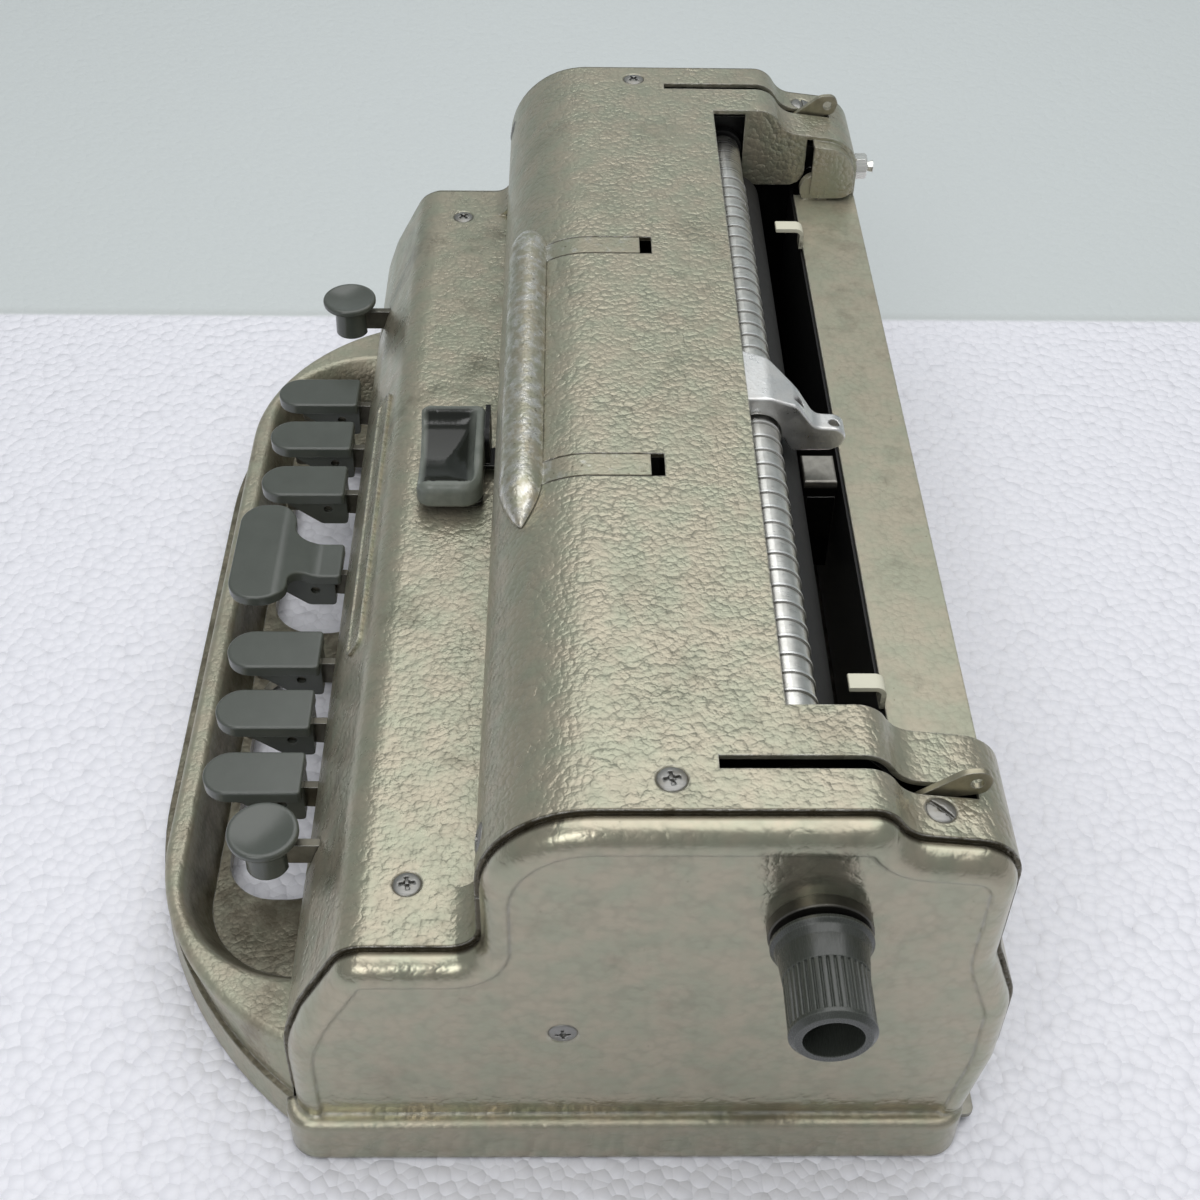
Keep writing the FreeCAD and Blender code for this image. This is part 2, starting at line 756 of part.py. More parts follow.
def dot_cap(x):
    """Key cap with a square rear and a round front."""
    half = cap_width / 2
    front = cap_rear_y - cap_length
    lip = slab([(x - half, cap_rear_y, 1.2), (x - half, front, half - 0.01), (x + half, front, half - 0.01),
                (x + half, cap_rear_y, 1.2)], cap_top - cap_lip, cap_top)
    lip = lip.makeFillet(0.8, [edge for edge in lip.Edges if edge.BoundBox.ZMin > cap_top - 1e-4])
    return joined([lip, cap_web(x, cap_web_width)]).cut(lever_pocket(x))


def space_cap():
    """Space key: a wide paddle that runs down into its stem."""
    half = space_width / 2
    stem = space_stem_width / 2
    paddle_rear = space_front_y + space_depth
    plan = slab([
        (-half, space_front_y, 8.5), (half, space_front_y, 8.5), (half, paddle_rear, 8), (stem, paddle_rear, 5),
        (stem, space_stem_rear_y, 1.2), (-stem, space_stem_rear_y, 1.2), (-stem, paddle_rear, 5),
        (-half, paddle_rear, 8)], cap_top - 10, space_top + 5)
    side = prism([
        (space_front_y - 1, space_top, 0), (paddle_rear - 3, space_top, 8), (paddle_rear + 8, cap_top, 8),
        (space_stem_rear_y + 1, cap_top, 0), (space_stem_rear_y + 1, cap_top - cap_lip, 0),
        (paddle_rear + 7, cap_top - cap_lip, 6), (paddle_rear - 3, space_top - cap_lip, 6),
        (space_front_y - 1, space_top - cap_lip, 0)], -space_width, space_width)
    paddle = plan.common(side)
    crest = [edge for edge in paddle.Edges if edge.BoundBox.ZMin > cap_top - 0.01
             and (edge.BoundBox.ZMax > space_top - 0.01 or edge.BoundBox.XLength < space_stem_width + 1)
             and not (edge.BoundBox.YLength < 0.01 and edge.BoundBox.YMax < space_stem_rear_y - 1
                      and edge.BoundBox.YMin > space_front_y + 1)]
    paddle = paddle.makeFillet(0.8, crest)
    return joined([paddle, cap_web(0.0, cap_web_width)]).cut(lever_pocket(0.0))


def control_lever(x):
    """Lever of a round key, set higher than the dot levers."""
    top = round_key_top - 5.5
    low = top - 7.5
    front = round_key_y - 3.5
    plate = lever_plate(x, [
        (front, low, 1.2), (comb_y - 6, low, 6), (shaft_y - 6, shaft_z - 5, 4), (shaft_y + 16, shaft_z - 4, 3),
        (shaft_y + 16, shaft_z + 5, 2), (shaft_y + 2, shaft_z + 8, 4), (comb_y + 8, top, 8), (front, top, 1.2)])
    pin = rod(x - 4.5, x + 4.5, round_key_y, low + 3.5, pin_radius)
    return joined([plate, pin])


def control_button(x):
    """Round key: a dished disc on a thick stem."""
    def turned(low_radius, high_radius, low_z, high_z):
        return Part.makeCone(low_radius, high_radius, high_z - low_z, Vector(x, round_key_y, low_z))

    disc_low = round_key_top - round_key_disc
    disc = Part.makeCylinder(round_key_radius, round_key_disc, Vector(x, round_key_y, disc_low))
    disc = disc.makeFillet(0.9, [edge for edge in disc.Edges if edge.BoundBox.ZLength < 1e-6])
    flare = turned(round_stem_radius - 0.3, round_key_radius - 1.5, disc_low - 2.2, disc_low + 0.5)
    stem = turned(round_stem_radius, round_stem_radius - 0.3, round_stem_foot, disc_low - 2.0)
    dish_radius = 36.0
    dish_centre = Vector(x, round_key_y, round_key_top - 1.0 + dish_radius)
    dish = Part.makeSphere(dish_radius, dish_centre, Vector(1, 0, 0))
    button = joined([disc, flare, stem]).cut(dish)
    half = lever_sheet / 2 + lever_fit
    low = round_key_top - 5.5 - 7.5
    slot = box(x - half, x + half, round_key_y - 4, round_key_y + 20, round_stem_foot - 5, round_key_top - 5.4)
    hole = rod(x - 4.5, x + 4.5, round_key_y, low + 3.5, pin_radius)
    return button.cut(slot).cut(hole)


def make_keys():
    dots_from_left = (3, 2, 1, 4, 5, 6)
    for number, x in zip(dots_from_left, dot_x):
        parts["dot_%d_lever" % number] = dot_lever(x, bar_y[number - 1])
        parts["dot_%d_cap" % number] = dot_cap(x)
    top = cap_top - cap_lip - 1.5
    low = top - lever_height
    plate = lever_plate(0.0, [
        (cap_rear_y - cap_length + 8, low + 2, 1.5), (shaft_y - 14, low - 2, 6), (shaft_y + 14, low - 4, 4),
        (shaft_y + 14, top - 6, 2), (shaft_y, top, 8), (cap_rear_y - cap_length + 8, top, 1.5)])
    parts["space_lever"] = joined([plate, cap_pin(0.0)])
    parts["space_cap"] = space_cap()
    for name, x in (("line_space", -round_key_x), ("backspace", round_key_x)):
        parts[name + "_lever"] = control_lever(x)
        parts[name + "_button"] = control_button(x)
    comb_half = frame_inner_x
    comb = box(-comb_half, comb_half, comb_y, comb_y + comb_sheet, pan_height + pan_sheet, comb_height)
    gap = lever_sheet / 2 + comb_fit
    for x in dot_x + [0.0]:
        comb = comb.cut(box(x - gap, x + gap, comb_y - 1, comb_y + 5, 24, cap_top - cap_lip))
    for x in (-round_key_x, round_key_x):
        comb = comb.cut(box(x - gap, x + gap, comb_y - 1, comb_y + 5, 30, comb_height + 1))
    parts["key_comb"] = comb
    parts["key_shaft"] = rod(-frame_outer_x, frame_outer_x, shaft_y, shaft_z, shaft_radius)


# ---------------------------------------------------------------- inner frame
def embossing_bar(y, arm_high_x):
    """Bail: a bar across the machine with an arm at each end that turns on the key shaft."""
    arm_low_x = arm_high_x - bail_arm_sheet
    rear_y = y + bar_thickness / 2
    top = bar_low + bar_depth
    bar = box(-arm_high_x, arm_high_x, rear_y - bar_thickness, rear_y, bar_low, top)
    hub = rod(arm_low_x, arm_high_x, shaft_y, shaft_z, bail_hub_radius)
    arm = prism([(shaft_y, shaft_z - bail_hub_radius + 0.5, 0), (rear_y, bar_low - 2, 1), (rear_y, top, 0),
                 (rear_y - 6, top, 3), (shaft_y, shaft_z + bail_hub_radius - 0.5, 0)], arm_low_x, arm_high_x)
    arm = joined([hub, arm]).cut(rod(0, far, shaft_y, shaft_z, shaft_radius + shaft_fit))
    return joined([bar, arm, mirrored(arm)])


def make_embossing_bars():
    """Six bails, one inside the next; each key lever lifts its own."""
    arm_high_x = frame_inner_x - bail_end_gap
    for number in (6, 5, 4, 3, 2, 1):
        parts["embossing_bar_%d" % number] = embossing_bar(bar_y[number - 1], arm_high_x)
        arm_high_x -= bail_arm_sheet + bail_arm_gap


def right_side_frame():
    """Side plate that carries the shafts, rails and rollers."""
    floor = pan_height + pan_sheet
    plate = prism([
        (comb_y, floor, 0), (comb_y, 68, 4), (-38, shelf_height - cover_sheet - 0.01, 4),
        (-11.5, shelf_height - cover_sheet - 0.01, 0), (-11.5, top_height - 28.5, 6), (8, top_height - 5.5, 10),
        (74, top_height - 5.5, 8), (84, top_height - 15.5, 6), (107.5, top_height - 19, 9), (107.5, 20, 10),
        (105, floor, 0)], frame_inner_x, frame_outer_x)
    foot = box(frame_outer_x - 0.5, frame_outer_x + 10, comb_y, 105, floor, floor + 2)
    lug = box(frame_outer_x - 0.5, frame_outer_x + 9, -38, -27, shelf_height - cover_sheet - 3.2,
              shelf_height - cover_sheet)
    post = rod(frame_outer_x - 0.5, casting_face_x - casting_wall, casting_screw_y, casting_screw_z, 4.5)
    frame = joined([plate, foot, lug, post])
    low_x = frame_inner_x - 1
    high_x = frame_outer_x + 1
    frame = frame.cut(rod(low_x, high_x, shaft_y, shaft_z, shaft_radius))
    for y in (rail_front_y, rail_rear_y):
        frame = frame.cut(rod(low_x, high_x, y, rail_height, rail_radius))
    frame = frame.cut(rod(low_x, high_x, feed_y, feed_z, feed_shaft_radius + shaft_fit))
    frame = frame.cut(rod(low_x, high_x, ribbed_y, ribbed_z, bearing_radius - 2))
    washer = rod(opening_half + 0.3, frame_inner_x + 0.5, rest_pivot_y, rest_pivot_z, rest_washer)
    pin = rod(rest_half - rest_hub_length + 0.4, frame_inner_x, rest_pivot_y, rest_pivot_z, rest_pivot_radius)
    frame = joined([frame, washer, pin])
    return cut_screw_holes(frame, ["shelf", "casting"])


def make_inner_frame():
    frame = right_side_frame()
    parts["right_side_frame"] = frame
    parts["left_side_frame"] = mirrored(frame)
    rails = [rod(-frame_outer_x, frame_outer_x, y, rail_height, rail_radius)
             for y in (rail_front_y, rail_rear_y)]
    parts["carriage_rails"] = group(rails)
    low = rack_top - rack_depth
    bar = box(-frame_inner_x, frame_inner_x, rack_y, rack_y + rack_thickness, low, rack_top)
    count = int(2 * (frame_inner_x - cell_pitch) / cell_pitch)
    gullets = [tooth_gullet((index - count / 2) * cell_pitch) for index in range(count)]
    parts["escapement_rack"] = bar.cut(Part.Compound(gullets))
    spigot = rod(frame_inner_x - 3, frame_outer_x, ribbed_y, ribbed_z, bearing_radius - 2)
    flange = rod(frame_inner_x - 3, frame_inner_x, ribbed_y, ribbed_z, bearing_radius)
    bore = rod(opening_half, far, ribbed_y, ribbed_z, ribbed_journal + shaft_fit)
    bearing = joined([spigot, flange]).cut(bore)
    parts["roller_bearings"] = group([bearing, mirrored(bearing)])
    parts["paper_guide"] = box(-frame_inner_x, frame_inner_x, 89.3, 90.5, 50, rest_top - rest_sheet - 0.7)
    floor = pan_height + pan_sheet
    centre = Vector(bell_x, bell_y, bell_z)
    upper = box(bell_x - bell_radius, bell_x + bell_radius, bell_y - bell_radius, bell_y + bell_radius,
                bell_z, bell_z + bell_radius)
    gong = Part.makeSphere(bell_radius, centre).common(upper)
    gong = gong.cut(Part.makeSphere(bell_radius - bell_sheet, centre))
    post_height = bell_z + bell_radius - 1 - floor
    post = Part.makeCylinder(bell_post_radius, post_height, Vector(bell_x, bell_y, floor))
    parts["margin_bell"] = joined([gong, post])


def tooth_gullet(x):
    """Saw-tooth gullet of the escapement rack: steep on the right, sloping to the left."""
    wire = Part.makePolygon([Vector(x, rack_y - 1, rack_top + 1), Vector(x, rack_y - 1, rack_top - rack_tooth),
                             Vector(x - cell_pitch + 1, rack_y - 1, rack_top + 1),
                             Vector(x, rack_y - 1, rack_top + 1)])
    return Part.Face(wire).extrude(Vector(0, rack_thickness + 2, 0))


# ---------------------------------------------------------------- carriage and embossing head
def make_carriage():
    low_x = carriage_low_x
    high_x = carriage_high_x
    body = prism([(carriage_front_y, carriage_low, 2), (carriage_rear_y, carriage_low, 2),
                  (carriage_rear_y, carriage_top, 2), (carriage_front_y, carriage_top, 2)], low_x, high_x)
    half = head_length / 2
    riser = box(head_x - half, head_x + half, riser_front_y, riser_rear_y, carriage_top - 1, head_seat)
    jaw_half = stylus_block_length / 2
    jaw_x = head_x + half - jaw_half + 4
    jaw = box(jaw_x - jaw_half, jaw_x + jaw_half, carriage_rear_y - 1, stylus_block_rear_y,
              carriage_low, rail_height)
    upright = box(jaw_x - jaw_half, jaw_x + jaw_half, stylus_block_front_y + 1.2, stylus_block_rear_y,
                  carriage_low, stylus_block_top - 6)
    ears = []
    for x in (lever_neck_x - lever_neck_width / 2 - 2.2, lever_neck_x + lever_neck_width / 2 + 0.2):
        ears.append(prism([
            (carriage_front_y + 1, lever_pivot_z - 4.5, 0), (lever_pivot_y - 3.2, lever_pivot_z - 3.0, 3),
            (lever_pivot_y - 3.2, lever_pivot_z + 2.8, 2.5), (carriage_front_y + 1, lever_pivot_z + 3, 0)],
            x, x + 2.0))
    half = lever_neck_width / 2 + 2.2
    pin = rod(lever_neck_x - half, lever_neck_x + half, lever_pivot_y, lever_pivot_z, pin_radius)
    body = joined([body, riser, jaw, upright, pin] + ears)
    for y in (rail_front_y, rail_rear_y):
        body = body.cut(rod(low_x - 1, high_x + 1, y, rail_height, rail_radius + rail_fit))
    parts["carriage"] = body
    block = box(jaw_x - jaw_half, jaw_x + jaw_half, stylus_block_front_y, stylus_block_rear_y,
                stylus_block_top - 6, stylus_block_top)
    parts["stylus_block"] = block.makeFillet(0.6, [edge for edge in block.Edges
                                                   if edge.BoundBox.ZMin > stylus_block_top - 1e-4])


def make_embossing_head():
    """Cast head that arches over the ribbed roller and ends in a narrow nose above the paper."""
    near_x = head_x + head_length / 2
    far_x = near_x - head_length
    arch = ribbed_radius + rib_height + 0.5
    side = prism([
        (head_front_y, head_seat, 2), (head_front_y, head_top, 4), (65.5, head_top, 6), (74, head_top - 2.8, 5),
        (79.5, head_top - 10.4, 5), (86.3, head_top - 10.8, 4), (nose_y, head_top - 13.4, 3),
        (87.6, head_top - 17.5, 3), (84.4, head_top - 18.8, 1), (73.2, head_top - 19.1, 2),
        (70.6, head_seat, 1)], far_x, near_x)
    plan = slab([
        (far_x, head_front_y - 1, 0), (near_x + 1, head_front_y - 1, 0), (near_x + 1, nose_y + 2, 0),
        (near_x - nose_width, nose_y + 2, 0), (near_x - nose_width, 80, 5), (near_x - nose_width - 2.5, 74, 5),
        (far_x + 4, 66.5, 6), (far_x, 58, 6)], head_seat - 20, sky)
    head = side.common(plan).cut(rod(far_x - 1, near_x + 1, ribbed_y, ribbed_z, arch))
    eye = Part.makeCylinder(1.7, far, Vector(near_x - 3, nose_y - 4.2, 0))
    oval = Part.makeCylinder(1.6, far, Vector(near_x - 4.0, 74.4, 0))
    head = head.cut(eye).cut(oval)
    crest = [edge for edge in head.Edges
             if edge.BoundBox.ZMin > head_top - 13 and edge.BoundBox.XMin > near_x - 1e-3
             and edge.BoundBox.YMin > head_front_y + 3 and edge.Length > 1]
    parts["embossing_head"] = head.makeFillet(0.7, crest)


def make_carriage_lever():
    """Bent arm that comes out of the shelf gap, with the moulded finger scoop on its end."""
    low_z = lever_arm_z
    high_z = low_z + lever_arm_sheet
    plate = slab([(scoop_low_x + 1, scoop_front_y + 1.5, 5), (scoop_high_x - 2, scoop_front_y + 1.5, 5),
                  (scoop_high_x - 2, scoop_rear_y, 3), (scoop_low_x + 1, scoop_rear_y, 1)], low_z, high_z)
    neck = box(lever_neck_x - lever_neck_width / 2, lever_neck_x + lever_neck_width / 2,
               scoop_rear_y - 1, lever_pivot_y, low_z, high_z)
    upright_top = high_z + scoop_height + 0.6
    upright = Part.Face(rounded_wire([
        (lever_upright_low_x, low_z, 0), (lever_upright_high_x, low_z, 0),
        (lever_upright_high_x, upright_top, 4), (lever_upright_low_x, upright_top, 0.5)],
        front_view(scoop_rear_y)))
    upright = upright.extrude(Vector(0, lever_arm_sheet, 0))
    half = lever_neck_width / 2
    knuckle = rod(lever_neck_x - half, lever_neck_x + half, lever_pivot_y, lever_pivot_z, lever_knuckle_radius)
    arm = joined([plate, neck, upright, knuckle])
    parts["carriage_lever"] = arm.cut(rod(lever_neck_x - 10, lever_neck_x + 10, lever_pivot_y, lever_pivot_z,
                                          pin_radius + shaft_fit))
    parts["lever_scoop"] = lever_scoop(high_z)


def lever_scoop(foot):
    """Moulded finger scoop: a saddle with a high far wall, a rolled near lip and a rear wall, open in front."""
    top = foot + scoop_height
    lip = foot + scoop_lip_height
    floor = foot + scoop_floor
    wall_y = scoop_rear_y - scoop_wall
    outer = [(scoop_low_x, foot, 1.5), (scoop_high_x, foot, 1.5), (scoop_high_x - 1, lip, 1.8)]
    saddle = Part.Face(rounded_wire(outer + [
        (scoop_high_x - 3.2, lip, 1.0), (scoop_high_x - scoop_near_foot, floor, scoop_near_radius),
        (scoop_low_x + scoop_far_foot, floor, scoop_far_radius), (scoop_low_x + 3.6, top, 1.2),
        (scoop_low_x, top, 2.4)], front_view(scoop_front_y)))
    saddle = saddle.extrude(Vector(0, wall_y - scoop_front_y, 0))
    wall = Part.Face(rounded_wire(outer + [
        (scoop_low_x + 25, top, 12), (scoop_low_x, top, 2.4)], front_view(wall_y)))
    wall = wall.extrude(Vector(0, scoop_wall, 0))
    body = joined([saddle, wall])
    outline = slab([(scoop_low_x, scoop_front_y, 3), (scoop_high_x, scoop_front_y, scoop_corner),
                    (scoop_high_x, scoop_rear_y, scoop_corner), (scoop_low_x, scoop_rear_y, 1)], foot, top)
    return body.common(outline)


# ---------------------------------------------------------------- paper feed
def make_rollers():
    body = rod(-opening_half - 1, opening_half + 1, ribbed_y, ribbed_z, ribbed_radius)
    journal = rod(-frame_outer_x, frame_outer_x, ribbed_y, ribbed_z, ribbed_journal)
    ribs = []
    for index in range(cell_count):
        low_x = first_rib_x + index * cell_pitch - rib_width / 2
        ribs.append(rod(low_x, low_x + rib_width, ribbed_y, ribbed_z, ribbed_radius + rib_height))
    parts["ribbed_roller"] = joined([body, journal] + ribs)
    shaft_half = casting_face_x + knob_clear + bush_flange + knob_length - knob_bore_depth
    shaft = rod(-shaft_half, shaft_half, feed_y, feed_z, feed_shaft_radius)
    rubber = rod(-feed_roller_half, feed_roller_half, feed_y, feed_z, feed_roller_radius)
    parts["feed_roller"] = joined([rubber, shaft])


def fluted_wire(x):
    """Section of the knob's grip: flat-topped ribs with a groove between each two."""
    points = []
    for index in range(knob_flutes):
        for share, radius in ((-0.24, knob_radius), (0.24, knob_radius), (0.5, knob_radius - knob_flute_depth)):
            angle = (index + share) * 2 * math.pi / knob_flutes
            points.append(Vector(x, feed_y + radius * math.cos(angle), feed_z + radius * math.sin(angle)))
    return Part.makePolygon(points + points[:1])


def right_knob():
    """Fluted hollow knob with a seating flange."""
    start = casting_face_x + bush_flange + knob_clear
    core = knob_radius - knob_flute_depth - 0.25
    grip_end = knob_length - knob_end_ring
    profile = [
        (0, feed_shaft_radius), (0, knob_flange_radius - 0.5), (0.5, knob_flange_radius),
        (1.3, knob_flange_radius), (2.2, knob_flange_radius - 0.9), (4.2, knob_radius + 0.7),
        (knob_grip_start, knob_radius + 0.1), (knob_grip_start, core), (grip_end, core),
        (grip_end, knob_radius + 0.1), (grip_end + 1, knob_radius + 0.1), (knob_length, knob_radius - 1.2),
        (knob_length, knob_bore), (knob_length - knob_bore_depth, knob_bore),
        (knob_length - knob_bore_depth, feed_shaft_radius)]
    points = [Vector(start + along, feed_y + radius, feed_z) for along, radius in profile]
    face = Part.Face(Part.makePolygon(points + points[:1]))
    body = face.revolve(Vector(start, feed_y, feed_z), Vector(1, 0, 0), 360)
    grip_x = start + knob_grip_start
    grip = Part.Face(fluted_wire(grip_x)).extrude(Vector(grip_end - knob_grip_start, 0, 0))
    grip = grip.cut(rod(grip_x - 1, start + grip_end + 1, feed_y, feed_z, core - 0.2))
    return joined([body, grip])


def make_knobs():
    knob = right_knob()
    parts["right_feed_knob"] = knob
    parts["left_feed_knob"] = mirrored(knob)
    sleeve = rod(casting_face_x - casting_wall, casting_face_x, feed_y, feed_z, bush_radius - 5)
    flange = rod(panel_x, casting_face_x + bush_flange, feed_y, feed_z, bush_radius)
    flange = flange.makeFillet(0.5, [edge for edge in flange.Edges
                                     if edge.BoundBox.XMin > casting_face_x + bush_flange - 1e-4])
    bush = joined([sleeve, flange]).cut(rod(cover_half, far, feed_y, feed_z, feed_shaft_radius + 0.4))
    parts["knob_bushes"] = group([bush, mirrored(bush)])


def make_release_levers():
    """Flat levers that turn on the feed shaft and stand out of the slots."""
    low_x = release_slot_x - blade_sheet / 2
    blade = prism([
        (feed_y - 5, feed_z + 4, 2), (feed_y + 4, feed_z - 6, 2), (feed_y + 26.5, feed_z + 16.5, 5),
        (feed_y + 29.0, feed_z + 23.1, 3), (feed_y + 38.3, feed_z + 24.9, 3.3),
        (feed_y + 40.2, feed_z + 32.4, 3.3), (feed_y + 32.5, feed_z + 31.7, 5),
        (feed_y + 22.0, feed_z + 23.3, 4)], low_x, low_x + blade_sheet)
    hub = rod(low_x - 1.2, low_x + blade_sheet + 1.2, feed_y, feed_z, blade_hub)
    bore = rod(low_x - 5, low_x + 8, feed_y, feed_z, feed_shaft_radius + shaft_fit)
    eye = rod(low_x - 1, low_x + blade_sheet + 1, feed_y + 35.6, feed_z + 28.3, blade_hole)
    lever = joined([blade, hub]).cut(bore).cut(eye)
    parts["right_release_lever"] = lever
    parts["left_release_lever"] = mirrored(lever)


# ---------------------------------------------------------------- handle and reading rest
def handle_bar():
    """Half-round bar with pointed ends, lying on the cover's shoulder."""
    def point(x, radius):
        return Vector(x, handle_y, handle_z + radius)

    tip = handle_half
    straight = handle_straight_half
    bow = (straight + tip) / 2 + 1.5
    bow_radius = handle_radius * 0.68
    edges = [
        Part.makeLine(point(-tip, 0), point(tip, 0)),
        Part.Arc(point(tip, 0), point(bow, bow_radius), point(straight, handle_radius)).toShape(),
        Part.makeLine(point(straight, handle_radius), point(-straight, handle_radius)),
        Part.Arc(point(-straight, handle_radius), point(-bow, bow_radius), point(-tip, 0)).toShape(),
    ]
    return Part.Face(Part.Wire(edges)).revolve(Vector(0, handle_y, handle_z), Vector(1, 0, 0), 360)


def make_handle():
    spindle = handle_bar()
    outline = rounded_wire(section_corners(), side_view(-cover_half)).makeOffset2D(0.3, 2)
    above = Part.Face(outline).extrude(Vector(far, 0, 0))
    bar = spindle.cut(above)
    pieces = [bar]
    for side in (-1, 1):
        low_x = side * strap_x - strap_width / 2
        high_x = low_x + strap_width
        layer = section_prism(0, low_x, high_x).cut(section_prism(strap_thickness, low_x - 1, high_x + 1))
        pieces.append(layer.common(box(low_x, high_x, -8, strap_rear_y, slot_low, sky)))
        root = spindle.common(box(low_x, high_x, -30, 20, shelf_height, sky))
        pieces.append(root.cut(section_prism(strap_thickness, low_x - 1, high_x + 1)))
        lug = prism([
            (handle_pin_y - 2.8, handle_pin_z - 2.8, 2.4), (handle_pin_y + 2.8, handle_pin_z - 2.8, 2.4),
            (handle_pin_y + 2.8, top_height - 1, 0), (handle_pin_y - 2.8, top_height - 1, 0)],
            side * strap_x - 2, side * strap_x + 2)
        pieces.append(lug)
    handle = joined(pieces)
    bore = rod(-handle_half, handle_half, handle_pin_y, handle_pin_z, pin_radius + shaft_fit)
    parts["carrying_handle"] = handle.cut(bore)
    brackets = []
    for side in (-1, 1):
        x = side * strap_x
        low = handle_pin_z - 2.5
        cheeks = []
        for cheek_x in (x - strap_width / 2 - 2.6, x + strap_width / 2 + 0.6):
            cheeks.append(box(cheek_x, cheek_x + 2, handle_pin_y - 3, handle_pin_y + 3,
                              low, top_height - cover_sheet))
        pin = rod(x - strap_width / 2 - 1, x + strap_width / 2 + 1, handle_pin_y, handle_pin_z, pin_radius)
        brackets.append(joined(cheeks + [pin]))
    parts["handle_brackets"] = group(brackets)


def make_reading_rest():
    """Plate behind the paper that turns up on two hubs, with its two tabs."""
    plate = box(-rest_half, rest_half, rest_front_y, rear_wall_y, rest_top - rest_sheet, rest_top)
    hub = rod(rest_half - rest_hub_length, rest_half, rest_pivot_y, rest_pivot_z, rest_hub_radius)
    rest = joined([plate, hub, mirrored(hub)])
    bore = rod(-far, far, rest_pivot_y, rest_pivot_z, rest_pivot_radius + shaft_fit)
    parts["reading_rest"] = rest.cut(bore)
    tab_top = rest_top + tab_lift
    tab = prism([
        (rest_front_y - tab_reach, tab_top, 0.4), (rest_front_y, tab_top, tab_bend),
        (rest_front_y, rest_top - rest_sheet, 0), (rest_front_y - tab_sheet, rest_top - rest_sheet, 0),
        (rest_front_y - tab_sheet, tab_top - tab_sheet, tab_bend - tab_sheet),
        (rest_front_y - tab_reach, tab_top - tab_sheet, 0.4)], tab_x - tab_half, tab_x + tab_half)
    parts["paper_tabs"] = group([tab, mirrored(tab)])


def make_small_parts():
    fasteners = [screw(place) for place in screw_places().values()]
    parts["cover_screws"] = group(fasteners + [mirrored(fastener) for fastener in fasteners])
    stud_x = -opening_half - stud_reach
    stud_z = top_height - stud_drop
    corner_radius = hex_across / math.sqrt(3)
    corners = []
    for index in range(7):
        angle = math.radians(60 * index)
        corners.append(Vector(stud_x + corner_radius * math.cos(angle), rear_wall_y,
                              stud_z + corner_radius * math.sin(angle)))
    nut = Part.Face(Part.makePolygon(corners)).extrude(Vector(0, hex_height, 0))
    back = Vector(0, 1, 0)
    turned = Part.makeCylinder(corner_radius, hex_height, Vector(stud_x, rear_wall_y, stud_z), back)
    nut = nut.common(turned.makeChamfer(hex_chamfer, [edge for edge in turned.Edges
                                                      if edge.BoundBox.YLength < 1e-6]))
    nut_end = rear_wall_y + hex_height
    shank = Part.makeCylinder(stud_radius, cover_sheet + hex_height - 1,
                              Vector(stud_x, rear_wall_y - cover_sheet, stud_z), back)
    tip = Part.makeCone(stud_neck_radius, stud_radius, stud_length - cover_sheet - hex_height,
                        Vector(stud_x, nut_end, stud_z), back)
    parts["rest_stop_stud"] = joined([nut, shank, tip])
    parts["top_cover"] = parts["top_cover"].cut(shank)


# ---------------------------------------------------------------- build
def main():
    parts["front_cover"] = make_front_cover()
    parts["top_cover"] = make_top_cover()
    parts["back_cover"] = make_back_cover()
    make_castings()
    make_base()
    make_key_tray()
    make_keys()
    make_embossing_bars()
    make_inner_frame()
    make_carriage()
    make_embossing_head()
    make_carriage_lever()
    make_rollers()
    make_knobs()
    make_release_levers()
    make_handle()
    make_reading_rest()
    make_small_parts()
    os.makedirs("parts", exist_ok=True)
    for name, shape in sorted(parts.items()):
        shape.exportStep(os.path.join("parts", name + ".step"))
        print(name, len(shape.Solids), shape.isValid(), round(shape.Volume, 1))


main()
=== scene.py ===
"""Finishes, small pieces and a studio for the manual braille writer, laid out as an add-on."""

import math

import bmesh
import bpy
from mathutils import Matrix, Vector


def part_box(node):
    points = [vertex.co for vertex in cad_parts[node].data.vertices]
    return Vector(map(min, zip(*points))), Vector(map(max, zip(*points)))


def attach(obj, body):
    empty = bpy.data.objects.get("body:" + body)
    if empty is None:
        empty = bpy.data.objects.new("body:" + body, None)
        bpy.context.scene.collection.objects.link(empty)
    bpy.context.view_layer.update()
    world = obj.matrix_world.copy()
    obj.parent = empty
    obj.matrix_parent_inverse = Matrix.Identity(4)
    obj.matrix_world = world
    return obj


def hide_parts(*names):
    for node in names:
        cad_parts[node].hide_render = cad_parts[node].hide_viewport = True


bl_info = {
    "name": "Braille Writer Dressing",
    "version": (1, 0, 0),
    "blender": (4, 5, 0),
    "location": "3D View > Sidebar > Writer",
    "description": "Finishes, small pieces and a studio for a manual braille writer",
    "category": "Object",
}

MM = 0.001
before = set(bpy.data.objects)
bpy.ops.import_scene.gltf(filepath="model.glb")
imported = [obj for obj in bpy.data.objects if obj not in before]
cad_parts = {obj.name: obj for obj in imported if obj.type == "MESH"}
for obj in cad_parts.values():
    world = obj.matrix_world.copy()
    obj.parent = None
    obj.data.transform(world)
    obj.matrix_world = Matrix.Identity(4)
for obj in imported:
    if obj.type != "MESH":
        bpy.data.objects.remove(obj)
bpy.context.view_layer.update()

COVER_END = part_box("top_cover")[1].x      # half the length of the covers
FOOT_TOP = 17.2 * MM                      # where the castings' dark foot ends, just over the plinth
STRAP_X = 54.8 * MM                       # middle of the right handle strap
STRAP_HALF = 4.7 * MM                     # half its width, with half of its side gap
STRAP_REAR = 33.4 * MM                    # rear end of its slot
DOTS = range(1, 7)                        # the dot keys' numbers


